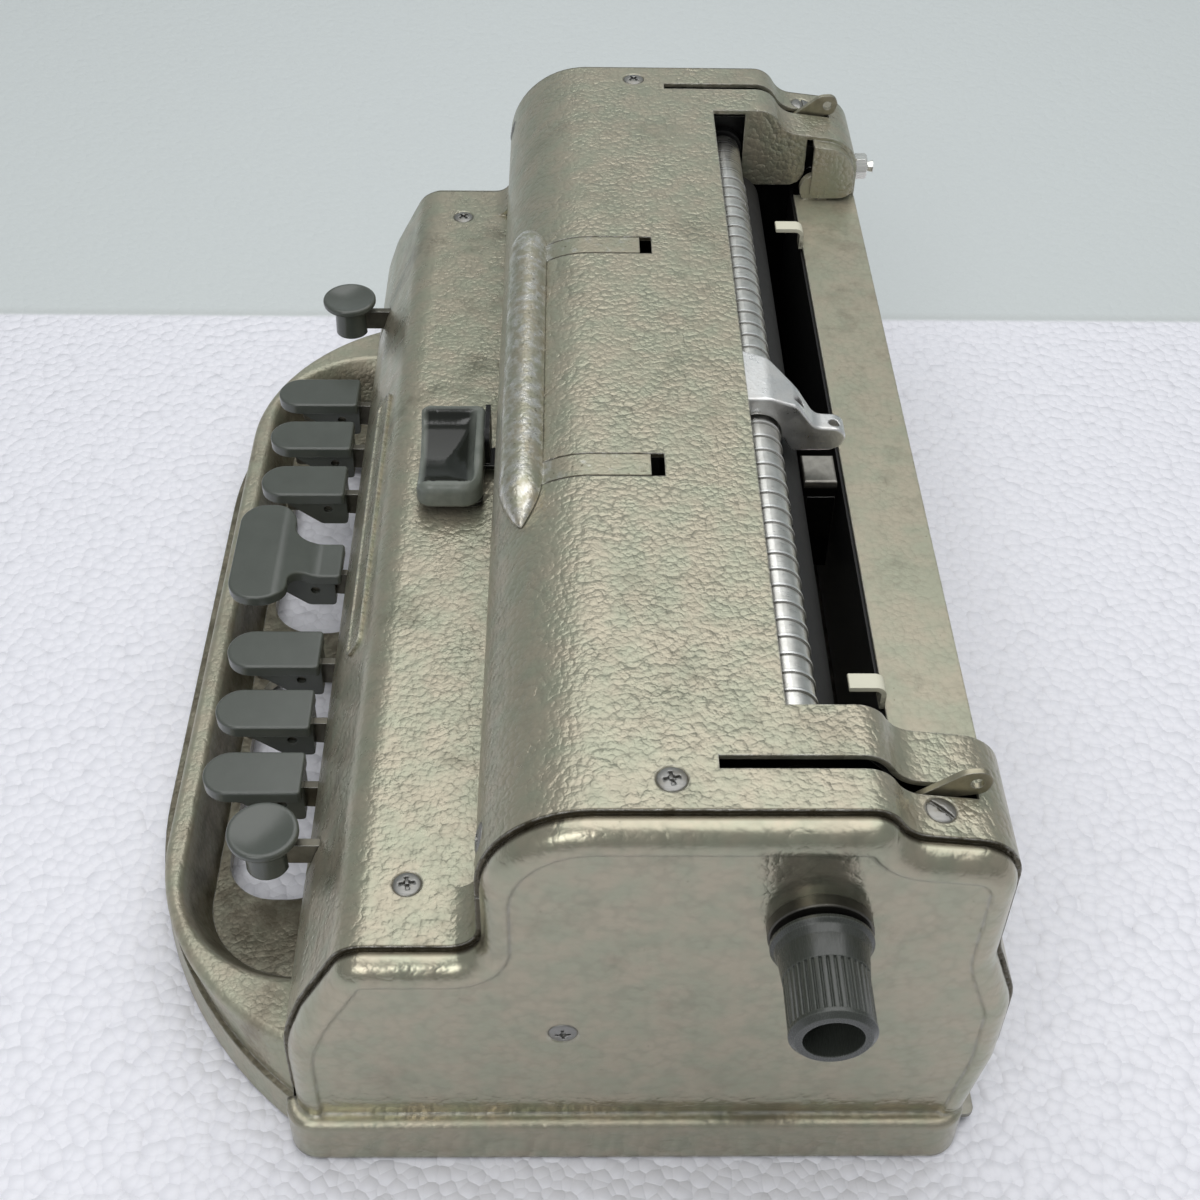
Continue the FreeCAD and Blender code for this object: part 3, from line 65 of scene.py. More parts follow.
# ---------------------------------------------------------------- sizes and colours a user would change
class WriterPaint(bpy.types.PropertyGroup):
    """The hammered paint on the covers and castings."""

    warm: bpy.props.FloatVectorProperty(
        name="Warm", description="Paint where it drifts towards pink", subtype="COLOR", size=3,
        default=(0.440, 0.400, 0.305), min=0, max=1)
    cool: bpy.props.FloatVectorProperty(
        name="Cool", description="Paint where it drifts towards green", subtype="COLOR", size=3,
        default=(0.385, 0.388, 0.292), min=0, max=1)
    bare: bpy.props.FloatVectorProperty(
        name="Bare", description="Metal that shows on rubbed edges", subtype="COLOR", size=3,
        default=(0.66, 0.65, 0.60), min=0, max=1)
    # The grime colour also paints the shade in joints, gaps and hollows.
    grime: bpy.props.FloatVectorProperty(
        name="Grime", description="Dirt in corners and hollows", subtype="COLOR", size=3,
        default=(0.085, 0.072, 0.045), min=0, max=1)
    pebble: bpy.props.FloatProperty(
        name="Pebble", description="Width of one hammered pebble", subtype="DISTANCE", unit="LENGTH",
        default=1.8 * MM, min=0.2 * MM)
    depth: bpy.props.FloatProperty(
        name="Depth", description="Height of a pebble over its crease", subtype="DISTANCE", unit="LENGTH",
        default=0.30 * MM, min=0)
    edge: bpy.props.FloatProperty(
        name="Edge", description="Rounding that the paint gives a sheet edge", subtype="DISTANCE",
        unit="LENGTH", default=0.7 * MM, min=0)


class WriterPlastic(bpy.types.PropertyGroup):
    """The moulded keys, scoop and knobs."""

    colour: bpy.props.FloatVectorProperty(
        name="Colour", description="Moulding colour", subtype="COLOR", size=3,
        default=(0.072, 0.080, 0.069), min=0, max=1)
    roughness: bpy.props.FloatProperty(
        name="Roughness", description="Roughness of a clean moulding", default=0.20, min=0, max=1)
    edge: bpy.props.FloatProperty(
        name="Edge", description="Rounding of moulded edges", subtype="DISTANCE", unit="LENGTH",
        default=0.5 * MM, min=0)


class WriterMetal(bpy.types.PropertyGroup):
    """The bare metal pieces."""

    bright: bpy.props.FloatVectorProperty(
        name="Bright", description="Turned and plated steel", subtype="COLOR", size=3,
        default=(0.84, 0.83, 0.79), min=0, max=1)
    cast: bpy.props.FloatVectorProperty(
        name="Cast", description="Cast and machined aluminium", subtype="COLOR", size=3,
        default=(0.90, 0.90, 0.89), min=0, max=1)
    # The dark colour also serves as painted shade on the inner sheet, and darkens the stylus block's foot.
    dark: bpy.props.FloatVectorProperty(
        name="Dark", description="Blackened levers and inner sheets", subtype="COLOR", size=3,
        default=(0.010, 0.010, 0.010), min=0, max=1)


class WriterFittings(bpy.types.PropertyGroup):
    """The cover screws and the bare strip on the front wall."""

    screw_radius: bpy.props.FloatProperty(
        name="Screw radius", description="Radius of a cover screw's head", subtype="DISTANCE", unit="LENGTH",
        default=3.7 * MM, min=0.5 * MM)
    recess_reach: bpy.props.FloatProperty(
        name="Recess reach", description="Arm of the cross recess", subtype="DISTANCE", unit="LENGTH",
        default=2.0 * MM, min=0.1 * MM)
    recess_width: bpy.props.FloatProperty(
        name="Recess width", description="Width of a recess arm", subtype="DISTANCE", unit="LENGTH",
        default=0.85 * MM, min=0.1 * MM)
    recess_depth: bpy.props.FloatProperty(
        name="Recess depth", description="Depth of a recess or slot", subtype="DISTANCE", unit="LENGTH",
        default=1.1 * MM, min=0.1 * MM)
    strip_length: bpy.props.FloatProperty(
        name="Strip length", description="Length of the bare strip", subtype="DISTANCE", unit="LENGTH",
        default=121.0 * MM, min=10 * MM)
    strip_height: bpy.props.FloatProperty(
        name="Strip height", description="Height of the bare strip", subtype="DISTANCE", unit="LENGTH",
        default=9.4 * MM, min=4 * MM)
    strip_rim: bpy.props.FloatProperty(
        name="Strip rim", description="Width of the strip's raised rim", subtype="DISTANCE", unit="LENGTH",
        default=0.9 * MM, min=0.1 * MM)


class WriterStudio(bpy.types.PropertyGroup):
    """Camera and lights."""

    camera_place: bpy.props.FloatVectorProperty(
        name="Camera place", description="Where the camera stands", subtype="XYZ", unit="LENGTH", size=3,
        default=(0.4165, 0.0065, 0.4329))
    azimuth: bpy.props.FloatProperty(
        name="Azimuth", description="Turn of the view from the right end", subtype="ANGLE", unit="ROTATION",
        default=math.radians(-1.594))
    elevation: bpy.props.FloatProperty(
        name="Elevation", description="Height of the view over the table", subtype="ANGLE", unit="ROTATION",
        default=math.radians(43.848))
    roll: bpy.props.FloatProperty(
        name="Roll", description="Tilt of the camera", subtype="ANGLE", unit="ROTATION",
        default=math.radians(1.296))
    lens: bpy.props.FloatProperty(
        name="Lens", description="Focal length on a 36 mm frame", subtype="DISTANCE_CAMERA",
        default=51.52, min=10)
    overhead: bpy.props.FloatProperty(
        name="Overhead", description="Power of the overhead light", subtype="POWER", unit="POWER",
        default=14.6, min=0)
    front: bpy.props.FloatProperty(
        name="Front", description="Power of the light behind the camera", subtype="POWER", unit="POWER",
        default=4.2, min=0)
    fill: bpy.props.FloatProperty(
        name="Fill", description="Brightness of the surroundings", default=0.345, min=0)
    table_colour: bpy.props.FloatVectorProperty(
        name="Table colour", description="White foam board", subtype="COLOR", size=3,
        default=(0.89, 0.89, 0.95), min=0, max=1)
    back_colour: bpy.props.FloatVectorProperty(
        name="Back colour", description="Backdrop behind the board", subtype="COLOR", size=3,
        default=(0.66, 0.70, 0.70), min=0, max=1)


def scaled(colour, factor):
    """A colour made lighter or darker."""
    return tuple(factor * share for share in colour)


# ---------------------------------------------------------------- material helpers
class Finish:
    """A node material under construction, with the shader and the shortcuts that the finishes use."""

    def __init__(self, name):
        self.material = bpy.data.materials.new(name)
        self.material.use_nodes = True
        self.tree = self.material.node_tree
        self.shader = self.tree.nodes["Principled BSDF"]
        self.place = self.node("ShaderNodeTexCoord").outputs["Object"]

    def node(self, kind, **fields):
        made = self.tree.nodes.new(kind)
        for field, value in fields.items():
            setattr(made, field, value)
        return made

    def feed(self, socket, value):
        """Set a socket to a number or colour, or link it to another socket."""
        if isinstance(value, bpy.types.NodeSocket):
            self.tree.links.new(value, socket)
        elif socket.type == "RGBA" and len(value) == 3:
            socket.default_value = (*value, 1)
        else:
            socket.default_value = value

    def noise(self, size, detail=3.0, rough=0.55, place=None):
        """Noise whose blobs are about this size."""
        made = self.node("ShaderNodeTexNoise")
        self.feed(made.inputs["Vector"], place or self.place)
        self.feed(made.inputs["Scale"], 1 / size)
        self.feed(made.inputs["Detail"], detail)
        self.feed(made.inputs["Roughness"], rough)
        return made.outputs["Fac"]

    def span(self, value, low, high, to_low=0.0, to_high=1.0):
        """Remap a value, held between its ends."""
        made = self.node("ShaderNodeMapRange")
        for name, given in (("Value", value), ("From Min", low), ("From Max", high),
                            ("To Min", to_low), ("To Max", to_high)):
            self.feed(made.inputs[name], given)
        return made.outputs["Result"]

    def blotches(self, size, detail, low, high, to_low=0.0, to_high=1.0, rough=0.55):
        """Noise between two of its levels, remapped."""
        return self.span(self.noise(size, detail, rough), low, high, to_low, to_high)

    def math(self, operation, first, second=0.5):
        made = self.node("ShaderNodeMath", operation=operation)
        self.feed(made.inputs[0], first)
        self.feed(made.inputs[1], second)
        return made.outputs[0]

    def times(self, first, second):
        return self.math("MULTIPLY", first, second)

    def vector_math(self, operation, first, second):
        made = self.node("ShaderNodeVectorMath", operation=operation)
        self.feed(made.inputs[0], first)
        self.feed(made.inputs[1], second)
        return made.outputs["Value" if operation == "DOT_PRODUCT" else "Vector"]

    def mix(self, share, first, second):
        """Mix two colours."""
        made = self.node("ShaderNodeMix", data_type="RGBA")
        colour_inputs = (6, 7)
        self.feed(made.inputs[0], share)
        for index, colour in zip(colour_inputs, (first, second)):
            self.feed(made.inputs[index], colour)
        return made.outputs[2]

    def stretched(self, scale, turn=(0, 0, 0)):
        """Object coordinates scaled along each axis."""
        made = self.node("ShaderNodeMapping")
        self.feed(made.inputs["Vector"], self.place)
        self.feed(made.inputs["Scale"], scale)
        self.feed(made.inputs["Rotation"], turn)
        return made.outputs["Vector"]

    def bent(self, size, reach):
        """Object coordinates pushed about by noise, so that cells lose their straight sides."""
        made = self.node("ShaderNodeTexNoise")
        self.feed(made.inputs["Vector"], self.place)
        self.feed(made.inputs["Scale"], 1 / size)
        self.feed(made.inputs["Detail"], 2.0)
        push = self.vector_math("SUBTRACT", made.outputs["Color"], (0.5, 0.5, 0.5))
        push = self.vector_math("MULTIPLY", push, (reach, reach, reach))
        return self.vector_math("ADD", self.place, push)

    def soft_edges(self, radius, low=0.03, high=0.3):
        """Normal with sharp edges rounded, and a mask that is 1 along them."""
        made = self.node("ShaderNodeBevel", samples=3)
        self.feed(made.inputs["Radius"], radius)
        agree = self.vector_math("DOT_PRODUCT", made.outputs["Normal"], self.face_normal())
        return made.outputs["Normal"], self.span(self.math("SUBTRACT", 1.0, agree), low, high)

    def face_normal(self):
        return self.node("ShaderNodeNewGeometry").outputs["Normal"]

    def lumps(self, size, place):
        """Soft domes with sharp creases between them, 0 on a crest and about 0.5 in a crease."""
        made = self.node("ShaderNodeTexVoronoi")
        self.feed(made.inputs["Vector"], place)
        self.feed(made.inputs["Scale"], 1 / size)
        return self.times(made.outputs["Distance"], made.outputs["Distance"])

    def axis(self, name):
        """One of the object's coordinates."""
        made = self.node("ShaderNodeSeparateXYZ")
        self.feed(made.inputs[0], self.place)
        return made.outputs[name]

    def off_middle(self):
        """Distance from the machine's middle plane."""
        return self.math("ABSOLUTE", self.axis("X"))

    def bump(self, height, distance, normal=None):
        made = self.node("ShaderNodeBump")
        self.feed(made.inputs["Height"], height)
        self.feed(made.inputs["Distance"], distance)
        if normal is not None:
            self.feed(made.inputs["Normal"], normal)
        return made.outputs["Normal"]

    def done(self, **sockets):
        """Set shader inputs by name and return the material."""
        for name, value in sockets.items():
            self.feed(self.shader.inputs[name.replace("_", " ")], value)
        return self.material


def dress(material, *names):
    """Give CAD nodes a material."""
    for name in names:
        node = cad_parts[name]
        node.data.materials.clear()
        node.data.materials.append(material)


# ---------------------------------------------------------------- paint and the dirt on it
def hammered_paint(name, pebble=1.0, relief=1.0, gloss=0.31, metal=0.65, coat=0.1, grime=0.3, patch=30 * MM,
                   lines=None, rounding=1.0):
    """Hammered metallic paint: soft pebbles and sharp creases with painted shade in them, rubbed edges,
    specks and grime.

    pebble, relief and rounding are shares of the paint's own sizes, grime is the strength of the grime
    patches
    and patch the size of its patches, and lines is a function that gives a mask of more darkening:
    painted shade in joints, gaps and hollows, grime in the tray and a darkened foot on the castings.
    """
    paint = bpy.context.scene.writer_paint
    crease_shade = (0.27, 0.26, 0.20)
    finish = Finish(name)
    size = paint.pebble * pebble
    warped = finish.bent(size * 1.5, size * 0.7)
    pebbles = finish.lumps(size, warped)
    grains = finish.lumps(size * 0.42, warped)
    calm = finish.blotches(13 * MM, 2.0, 0.32, 0.62, 0.45, 1.0)
    height = finish.math("ADD", pebbles, finish.times(grains, 0.30))
    height = finish.times(height, finish.times(calm, -1.0))
    soft, rubbed = finish.soft_edges(paint.edge * rounding)
    normal = finish.bump(height, paint.depth * relief, soft)
    tint = finish.mix(finish.blotches(9 * MM, 3.0, 0.36, 0.62, rough=0.5), paint.cool, paint.warm)
    # Painted shade: the creases between pebbles are darkened towards the crease shade colour.
    crease = finish.times(finish.span(pebbles, 0.18, 0.55, 0.0, 0.30), calm)
    tint = finish.mix(crease, tint, crease_shade)
    specks = finish.blotches(1.3 * MM, 3.0, 0.735, 0.76, 0.0, 0.85, rough=0.6)
    tint = finish.mix(specks, tint, paint.grime)
    # Grime in patches, and through lines painted shade in joints, gaps and hollows, all in the grime colour.
    dirt_and_shade = finish.blotches(patch, 7.0, 0.54, 0.72, 0.0, grime, rough=0.68)
    if lines is not None:
        dirt_and_shade = finish.math("MAXIMUM", dirt_and_shade, lines(finish))
    tint = finish.mix(dirt_and_shade, tint, paint.grime)
    scuffs = finish.blotches(3.5 * MM, 5.0, 0.36, 0.54)
    tint = finish.mix(finish.times(rubbed, scuffs), tint, paint.bare)
    rough = finish.blotches(6 * MM, 3.0, 0.3, 0.7, gloss - 0.04, gloss + 0.06)
    return finish.done(Base_Color=tint, Metallic=metal, Roughness=rough, Normal=normal, Coat_Weight=coat,
                       Coat_Roughness=0.14)


def bowl_dirt_and_shade(finish):
    """Mask of the tray's inner walls and floor under the keys, darkened with grime and painted shade."""
    bowl_middle = (0, -88 * MM, 0)
    away = finish.vector_math("SUBTRACT", finish.place, bowl_middle)
    away = finish.vector_math("MULTIPLY", away, (1, 1, 0))
    away = finish.vector_math("NORMALIZE", away, (0, 0, 0))
    facing = finish.vector_math("DOT_PRODUCT", away, finish.face_normal())
    inner = finish.span(facing, 0.0, 0.3, 1.0, 0.0)
    low = finish.span(finish.axis("Z"), 20 * MM, 25.5 * MM, 1.0, 0.0)
    streaks = finish.blotches(7 * MM, 7.0, 0.30, 0.62, 0.45, 0.92, rough=0.66)
    return finish.times(finish.times(inner, low), streaks)


def casting_dark_foot_and_groove_shade(finish):
    """Mask of a casting's darkened foot, up to just over its plinth, and of painted shade in the groove
    where it meets the covers.
    """
    groove = finish.span(finish.off_middle(), COVER_END + 1.2 * MM, COVER_END + 2.2 * MM, 0.96, 0.0)
    foot = finish.span(finish.axis("Z"), FOOT_TOP - 1.2 * MM, FOOT_TOP, 0.16, 0.0)
    return finish.math("MAXIMUM", foot, groove)


def cover_end_shade(finish):
    """Mask of painted shade along the covers' end edges, where they meet the castings."""
    return finish.span(finish.off_middle(), COVER_END - 0.7 * MM, COVER_END - 0.3 * MM, 0.0, 0.96)


def strap_gap_shade(finish):
    """Mask of painted shade in the gap on both sides of each handle strap."""
    off_strap = finish.math("ABSOLUTE", finish.math("SUBTRACT", finish.off_middle(), STRAP_X))
    off_edge = finish.math("ABSOLUTE", finish.math("SUBTRACT", off_strap, STRAP_HALF))
    line = finish.span(off_edge, 0.3 * MM, 0.5 * MM, 0.9, 0.0)
    ends = ((0.5 * MM, 2 * MM, 0.0, 1.0), (STRAP_REAR - 0.2 * MM, STRAP_REAR + 0.2 * MM, 1.0, 0.0))
    for start, end, low, high in ends:
        line = finish.times(line, finish.span(finish.axis("Y"), start, end, low, high))
    return line


def top_cover_shade(finish):
    """Mask of the painted shade lines on the top cover: along its end edges and beside the handle straps."""
    return finish.math("MAXIMUM", cover_end_shade(finish), strap_gap_shade(finish))


# ---------------------------------------------------------------- plastic, metal, rubber and ivory
def moulded_plastic(name, scratch=0.35, tone=1.0):
    """Semi-gloss moulding with fine scratches and painted highlights along its edges."""
    plastic = bpy.context.scene.writer_plastic
    plastic_edge_highlight, dusty = (0.24, 0.26, 0.23), (0.16, 0.16, 0.14)
    finish = Finish(name)
    colour = scaled(plastic.colour, tone)
    base = finish.mix(finish.blotches(9 * MM, 3.0, 0.3, 0.7), colour, scaled(colour, 1.14))
    soft, rubbed = finish.soft_edges(plastic.edge, 0.02, 0.2)
    # Painted highlight: the moulded edges are lightened.
    base = finish.mix(finish.times(rubbed, 0.45), base, plastic_edge_highlight)
    dust = finish.blotches(0.8 * MM, 4.0, 0.64, 0.72, 0.0, 0.25, rough=0.7)
    base = finish.mix(dust, base, dusty)
    hairs = finish.noise(0.35 * MM, 2.0, place=finish.stretched((0.08, 1, 1), (0, 0, 0.5)))
    rough = finish.span(hairs, 0.35, 0.7, plastic.roughness, plastic.roughness + 0.2 * scratch)
    normal = finish.bump(finish.noise(0.9 * MM, 3.0), 0.012 * MM, soft)
    return finish.done(Base_Color=base, Roughness=rough, Normal=normal, IOR=1.6)


def scoop_plastic(name):
    """Glossy plastic of the finger scoop: painted light on its rim and edges, and painted shade in its bowl.
    """
    plastic = bpy.context.scene.writer_plastic
    rim_light, bowl_shade, scoop_edge_highlight = (0.30, 0.31, 0.28), (0.016, 0.018, 0.014), (0.34, 0.35, 0.32)
    finish = Finish(name)
    across, along = finish.axis("X"), finish.axis("Y")
    sides = ((across, -20, -18.2, 0.0, 1.0), (across, 9.5, 12.5, 1.0, 0.0),
             (along, -38.6, -37, 0.0, 1.0), (along, -24.5, -21.5, 1.0, 0.0))
    bowl = 1.0
    for axis, start, end, low, high in sides:
        bowl = finish.times(finish.span(axis, start * MM, end * MM, low, high), bowl)
    cloud = finish.blotches(4 * MM, 5.0, 0.35, 0.7, 0.0, 0.35, rough=0.6)
    # Painted light: outside the bowl the moulding is made lighter than the keys, in blotches.
    colour = finish.mix(cloud, scaled(plastic.colour, 2.1), rim_light)
    # Painted shade: the bowl is darkened almost to black.
    colour = finish.mix(bowl, colour, bowl_shade)
    soft, rubbed = finish.soft_edges(0.6 * MM)
    # Painted highlight along the scoop's edges.
    colour = finish.mix(finish.times(rubbed, 0.5), colour, scoop_edge_highlight)
    rough = finish.span(bowl, 0.0, 1.0, 0.24, 0.13)
    normal = finish.bump(finish.noise(1.2 * MM, 2.0), 0.02 * MM, soft)
    return finish.done(Base_Color=colour, Roughness=rough, Specular_IOR_Level=0.4, Normal=normal)


def turned_steel(name, tone=1.0, roughness=0.24, tarnish=0.3):
    """Bright steel with turning marks round the X axis and a little tarnish."""
    metal = bpy.context.scene.writer_metal
    darkening, worn = (0.20, 0.18, 0.14), (0.80, 0.80, 0.78)
    finish = Finish(name)
    spots = finish.blotches(6 * MM, 5.0, 0.48, 0.68, 0.0, tarnish)
    colour = finish.mix(spots, scaled(metal.bright, tone), darkening)
    soft, rubbed = finish.soft_edges(0.3 * MM, 0.02, 0.2)
    rings = finish.noise(0.25 * MM, 2.0, place=finish.stretched((1, 0.02, 0.02)))
    colour = finish.mix(rubbed, colour, worn)
    rough = finish.span(rings, 0.3, 0.7, roughness, roughness + 0.14)
    normal = finish.bump(rings, 0.01 * MM, soft)
    return finish.done(Base_Color=colour, Metallic=1.0, Roughness=rough, Normal=normal)


def ribbed_steel(name):
    """Satin roller steel: a painted highlight on each rib, one cell apart, and a painted shadow along each
    rib's foot.
    """
    metal = bpy.context.scene.writer_metal
    dulled, rib_foot_shadow, crest = (0.62, 0.61, 0.57), (0.10, 0.09, 0.07), (0.92, 0.92, 0.90)
    cell, first_rib = 6.25 * MM, -115.15 * MM
    cells_before = 20     # keeps the count of cells above 0 all along the roller
    finish = Finish(name)
    along = finish.math("ADD", finish.axis("X"), cells_before * cell - first_rib)
    along = finish.math("DIVIDE", along, cell)
    phase = finish.math("FRACT", finish.math("ADD", along, 0.5))
    off_rib = finish.math("ABSOLUTE", finish.math("SUBTRACT", phase, 0.5))
    rib = finish.span(off_rib, 0.055, 0.075, 1.0, 0.0)
    foot = finish.math("SUBTRACT", finish.span(off_rib, 0.085, 0.17, 1.0, 0.0), rib)
    colour = finish.mix(finish.blotches(4 * MM, 4.0, 0.35, 0.7), metal.bright, dulled)
    # Painted shadow along each rib's foot, then a painted highlight on the rib itself.
    colour = finish.mix(finish.times(foot, 0.75), colour, rib_foot_shadow)
    colour = finish.mix(rib, colour, crest)
    soft, _ = finish.soft_edges(0.25 * MM)
    grain = finish.noise(0.5 * MM, 3.0, place=finish.stretched((1, 0.15, 0.15)))
    rough = finish.span(grain, 0.3, 0.7, 0.26, 0.38)
    normal = finish.bump(grain, 0.008 * MM, soft)
    return finish.done(Base_Color=colour, Metallic=1.0, Roughness=rough, Normal=normal)


def cast_aluminium(name):
    """Die-cast aluminium, satin, with faint flow marks and handling marks."""
    metal = bpy.context.scene.writer_metal
    dulled, pitted, worn = (0.72, 0.71, 0.69), (0.15, 0.14, 0.12), (0.80, 0.80, 0.78)
    finish = Finish(name)
    flow = finish.noise(5 * MM, 5.0)
    soft, rubbed = finish.soft_edges(0.7 * MM)
    colour = finish.mix(finish.span(flow, 0.35, 0.7), metal.cast, dulled)
    colour = finish.mix(finish.blotches(0.9 * MM, 4.0, 0.62, 0.72, 0.0, 0.6, rough=0.7), colour, pitted)
    colour = finish.mix(finish.times(rubbed, 0.6), colour, worn)
    normal = finish.bump(finish.noise(0.8 * MM, 4.0), 0.06 * MM, soft)
    rough = finish.span(flow, 0.3, 0.7, 0.26, 0.44)
    return finish.done(Base_Color=colour, Metallic=0.95, Roughness=rough, Normal=normal)


def worn_handle_metal(name):
    """Handle metal: paint rubbed through to bright metal in mottled patches, barest at the ends."""
    paint = bpy.context.scene.writer_paint
    worn = (0.78, 0.77, 0.73)
    finish = Finish(name)
    size = paint.pebble * 0.75
    lumps = finish.lumps(size, finish.bent(size * 1.6, size * 1.5))
    ends = finish.span(finish.off_middle(), 50 * MM, 72 * MM, 0.0, 0.07)
    straps = finish.span(finish.axis("Y"), 0.0, 4 * MM, 0.0, -0.14)
    rub = finish.math("ADD", finish.noise(3.2 * MM, 5.0, 0.62), finish.math("ADD", ends, straps))
    rub = finish.span(rub, 0.44, 0.64)
    painted = finish.mix(finish.blotches(9 * MM, 3.0, 0.36, 0.62), paint.cool, paint.warm)
    colour = finish.mix(rub, painted, paint.bare)
    colour = finish.mix(finish.blotches(1.4 * MM, 4.0, 0.60, 0.70, 0.0, 0.7, rough=0.7), colour, paint.grime)
    soft, rubbed = finish.soft_edges(0.6 * MM)
    colour = finish.mix(finish.times(rubbed, 0.5), colour, worn)
    # Painted shade in the gaps beside the handle straps.
    colour = finish.mix(strap_gap_shade(finish), colour, paint.grime)
    normal = finish.bump(lumps, -0.08 * MM, soft)
    rough = finish.span(rub, 0.0, 1.0, 0.36, 0.25)
    return finish.done(Base_Color=colour, Metallic=0.8, Roughness=rough, Normal=normal)


def plated_steel(name, colour, roughness=0.36):
    """Dull plated sheet steel."""
    worn = (0.60, 0.60, 0.57)
    finish = Finish(name)
    base = finish.mix(finish.blotches(7 * MM, 5.0, 0.4, 0.7), colour, scaled(colour, 0.55))
    soft, rubbed = finish.soft_edges(0.4 * MM)
    base = finish.mix(finish.times(rubbed, 0.7), base, worn)
    normal = finish.bump(finish.noise(0.5 * MM, 3.0), 0.02 * MM, soft)
    return finish.done(Base_Color=base, Metallic=0.9, Roughness=roughness, Normal=normal)


def stylus_steel(name):
    """Satin block top that goes dark towards its foot."""
    metal = bpy.context.scene.writer_metal
    satin, shaded, worn = (0.40, 0.38, 0.34), (0.28, 0.27, 0.24), (0.75, 0.74, 0.70)
    finish = Finish(name)
    deep = finish.span(finish.axis("Z"), 102.2 * MM, 103.6 * MM, 0.96, 0.0)
    base = finish.mix(finish.blotches(3 * MM, 4.0, 0.35, 0.7), satin, shaded)
    soft, rubbed = finish.soft_edges(0.5 * MM)
    base = finish.mix(finish.times(rubbed, 0.8), base, worn)
    base = finish.mix(deep, base, metal.dark)
    brushed = finish.noise(0.4 * MM, 2.0, place=finish.stretched((0.1, 1, 1)))
    rough = finish.span(brushed, 0.3, 0.7, 0.28, 0.42)
    normal = finish.bump(brushed, 0.01 * MM, soft)
    return finish.done(Base_Color=base, Metallic=0.9, Roughness=rough, Normal=normal)


def shade_black_sheet(name):
    """Black inner sheet with dust; its black is painted shade for the dark inside of the machine behind the
    rollers.
    """
    metal = bpy.context.scene.writer_metal
    dusty = (0.08, 0.08, 0.07)
    finish = Finish(name)
    base = finish.mix(finish.blotches(3 * MM, 6.0, 0.60, 0.75, 0.0, 0.2, rough=0.7), metal.dark, dusty)
    normal = finish.bump(finish.noise(0.6 * MM, 3.0), 0.02 * MM)
    return finish.done(Base_Color=base, Roughness=0.42, Normal=normal)


def black_rubber(name):
    """Matt rubber."""
    black, dusty = (0.008, 0.008, 0.008), (0.022, 0.021, 0.020)
    finish = Finish(name)
    base = finish.mix(finish.noise(4 * MM, 4.0), black, dusty)
    normal = finish.bump(finish.noise(0.4 * MM, 3.0), 0.04 * MM)
    return finish.done(Base_Color=base, Roughness=0.62, Normal=normal)


def bell_brass(name):
    """Brass with a fine mottle."""
    brass = (0.60, 0.42, 0.16)
    finish = Finish(name)
    base = finish.mix(finish.blotches(3 * MM, 4.0, 0.3, 0.7), brass, scaled(brass, 0.82))
    soft, _ = finish.soft_edges(0.3 * MM)
    normal = finish.bump(finish.noise(0.5 * MM, 2.0), 0.01 * MM, soft)
    return finish.done(Base_Color=base, Roughness=0.3, Metallic=1.0, Normal=normal)


def ivory(name):
    """Ivory tabs whose legs go dark towards the bottom, where they go down behind the paper."""
    clean, leg_dark = (0.74, 0.72, 0.58), (0.10, 0.09, 0.06)
    finish = Finish(name)
    depth = finish.span(finish.axis("Z"), 104 * MM, 109 * MM, 0.85, 0.0)
    # The legs darken towards the bottom.
    darkening = finish.times(finish.blotches(1.5 * MM, 4.0, 0.3, 0.6), depth)
    soft, _ = finish.soft_edges(0.3 * MM)
    return finish.done(Base_Color=finish.mix(darkening, clean, leg_dark), Roughness=0.38, Normal=soft)


def foam_board(name):
    """White bead foam of the table, and the smoother backdrop behind its far edge."""
    studio = bpy.context.scene.writer_studio
    board_end, edge_shade = -0.2115, (0.45, 0.46, 0.45)
    finish = Finish(name)
    beads = finish.lumps(3.6 * MM, finish.bent(9 * MM, 0.6 * MM))
    behind = finish.span(finish.axis("X"), board_end - 2 * MM, board_end, 1.0, 0.0)
    off_gap = finish.math("ABSOLUTE", finish.math("ADD", finish.axis("X"), 3 * MM - board_end))
    gap = finish.span(off_gap, 0.0, 4 * MM, 0.25, 0.0)
    colour = finish.mix(behind, studio.table_colour, studio.back_colour)
    colour = finish.mix(gap, colour, edge_shade)
    height = finish.times(beads, finish.span(behind, 0.0, 1.0, -1.0, -0.25))
    return finish.done(Base_Color=colour, Roughness=0.32, Normal=finish.bump(height, 0.95 * MM))


# ---------------------------------------------------------------- mesh helpers
def clamped(share):
    """A share held between 0 and 1."""
    return min(max(share, 0.0), 1.0)


def object_from(name, data):
    piece = bpy.data.objects.new(name, data)
    bpy.context.scene.collection.objects.link(piece)
    return piece


def mesh_from(name, shape):
    """Mesh of a bmesh, with its faces turned outwards."""
    bmesh.ops.recalc_face_normals(shape, faces=shape.faces)
    mesh = bpy.data.meshes.new(name)
    shape.to_mesh(mesh)
    shape.free()
    return mesh


def lathed(name, profile):
    """Closed mesh turned from a profile of (radius, height) round Z."""
    shape = bmesh.new()
    points = [shape.verts.new((radius, 0, height)) for radius, height in profile]
    lines = [shape.edges.new(pair) for pair in zip(points, points[1:])]
    bmesh.ops.spin(shape, geom=points + lines, axis=(0, 0, 1), cent=(0, 0, 0), angle=math.tau, steps=40)
    bmesh.ops.remove_doubles(shape, verts=shape.verts, dist=1e-7)
    return mesh_from(name, shape)


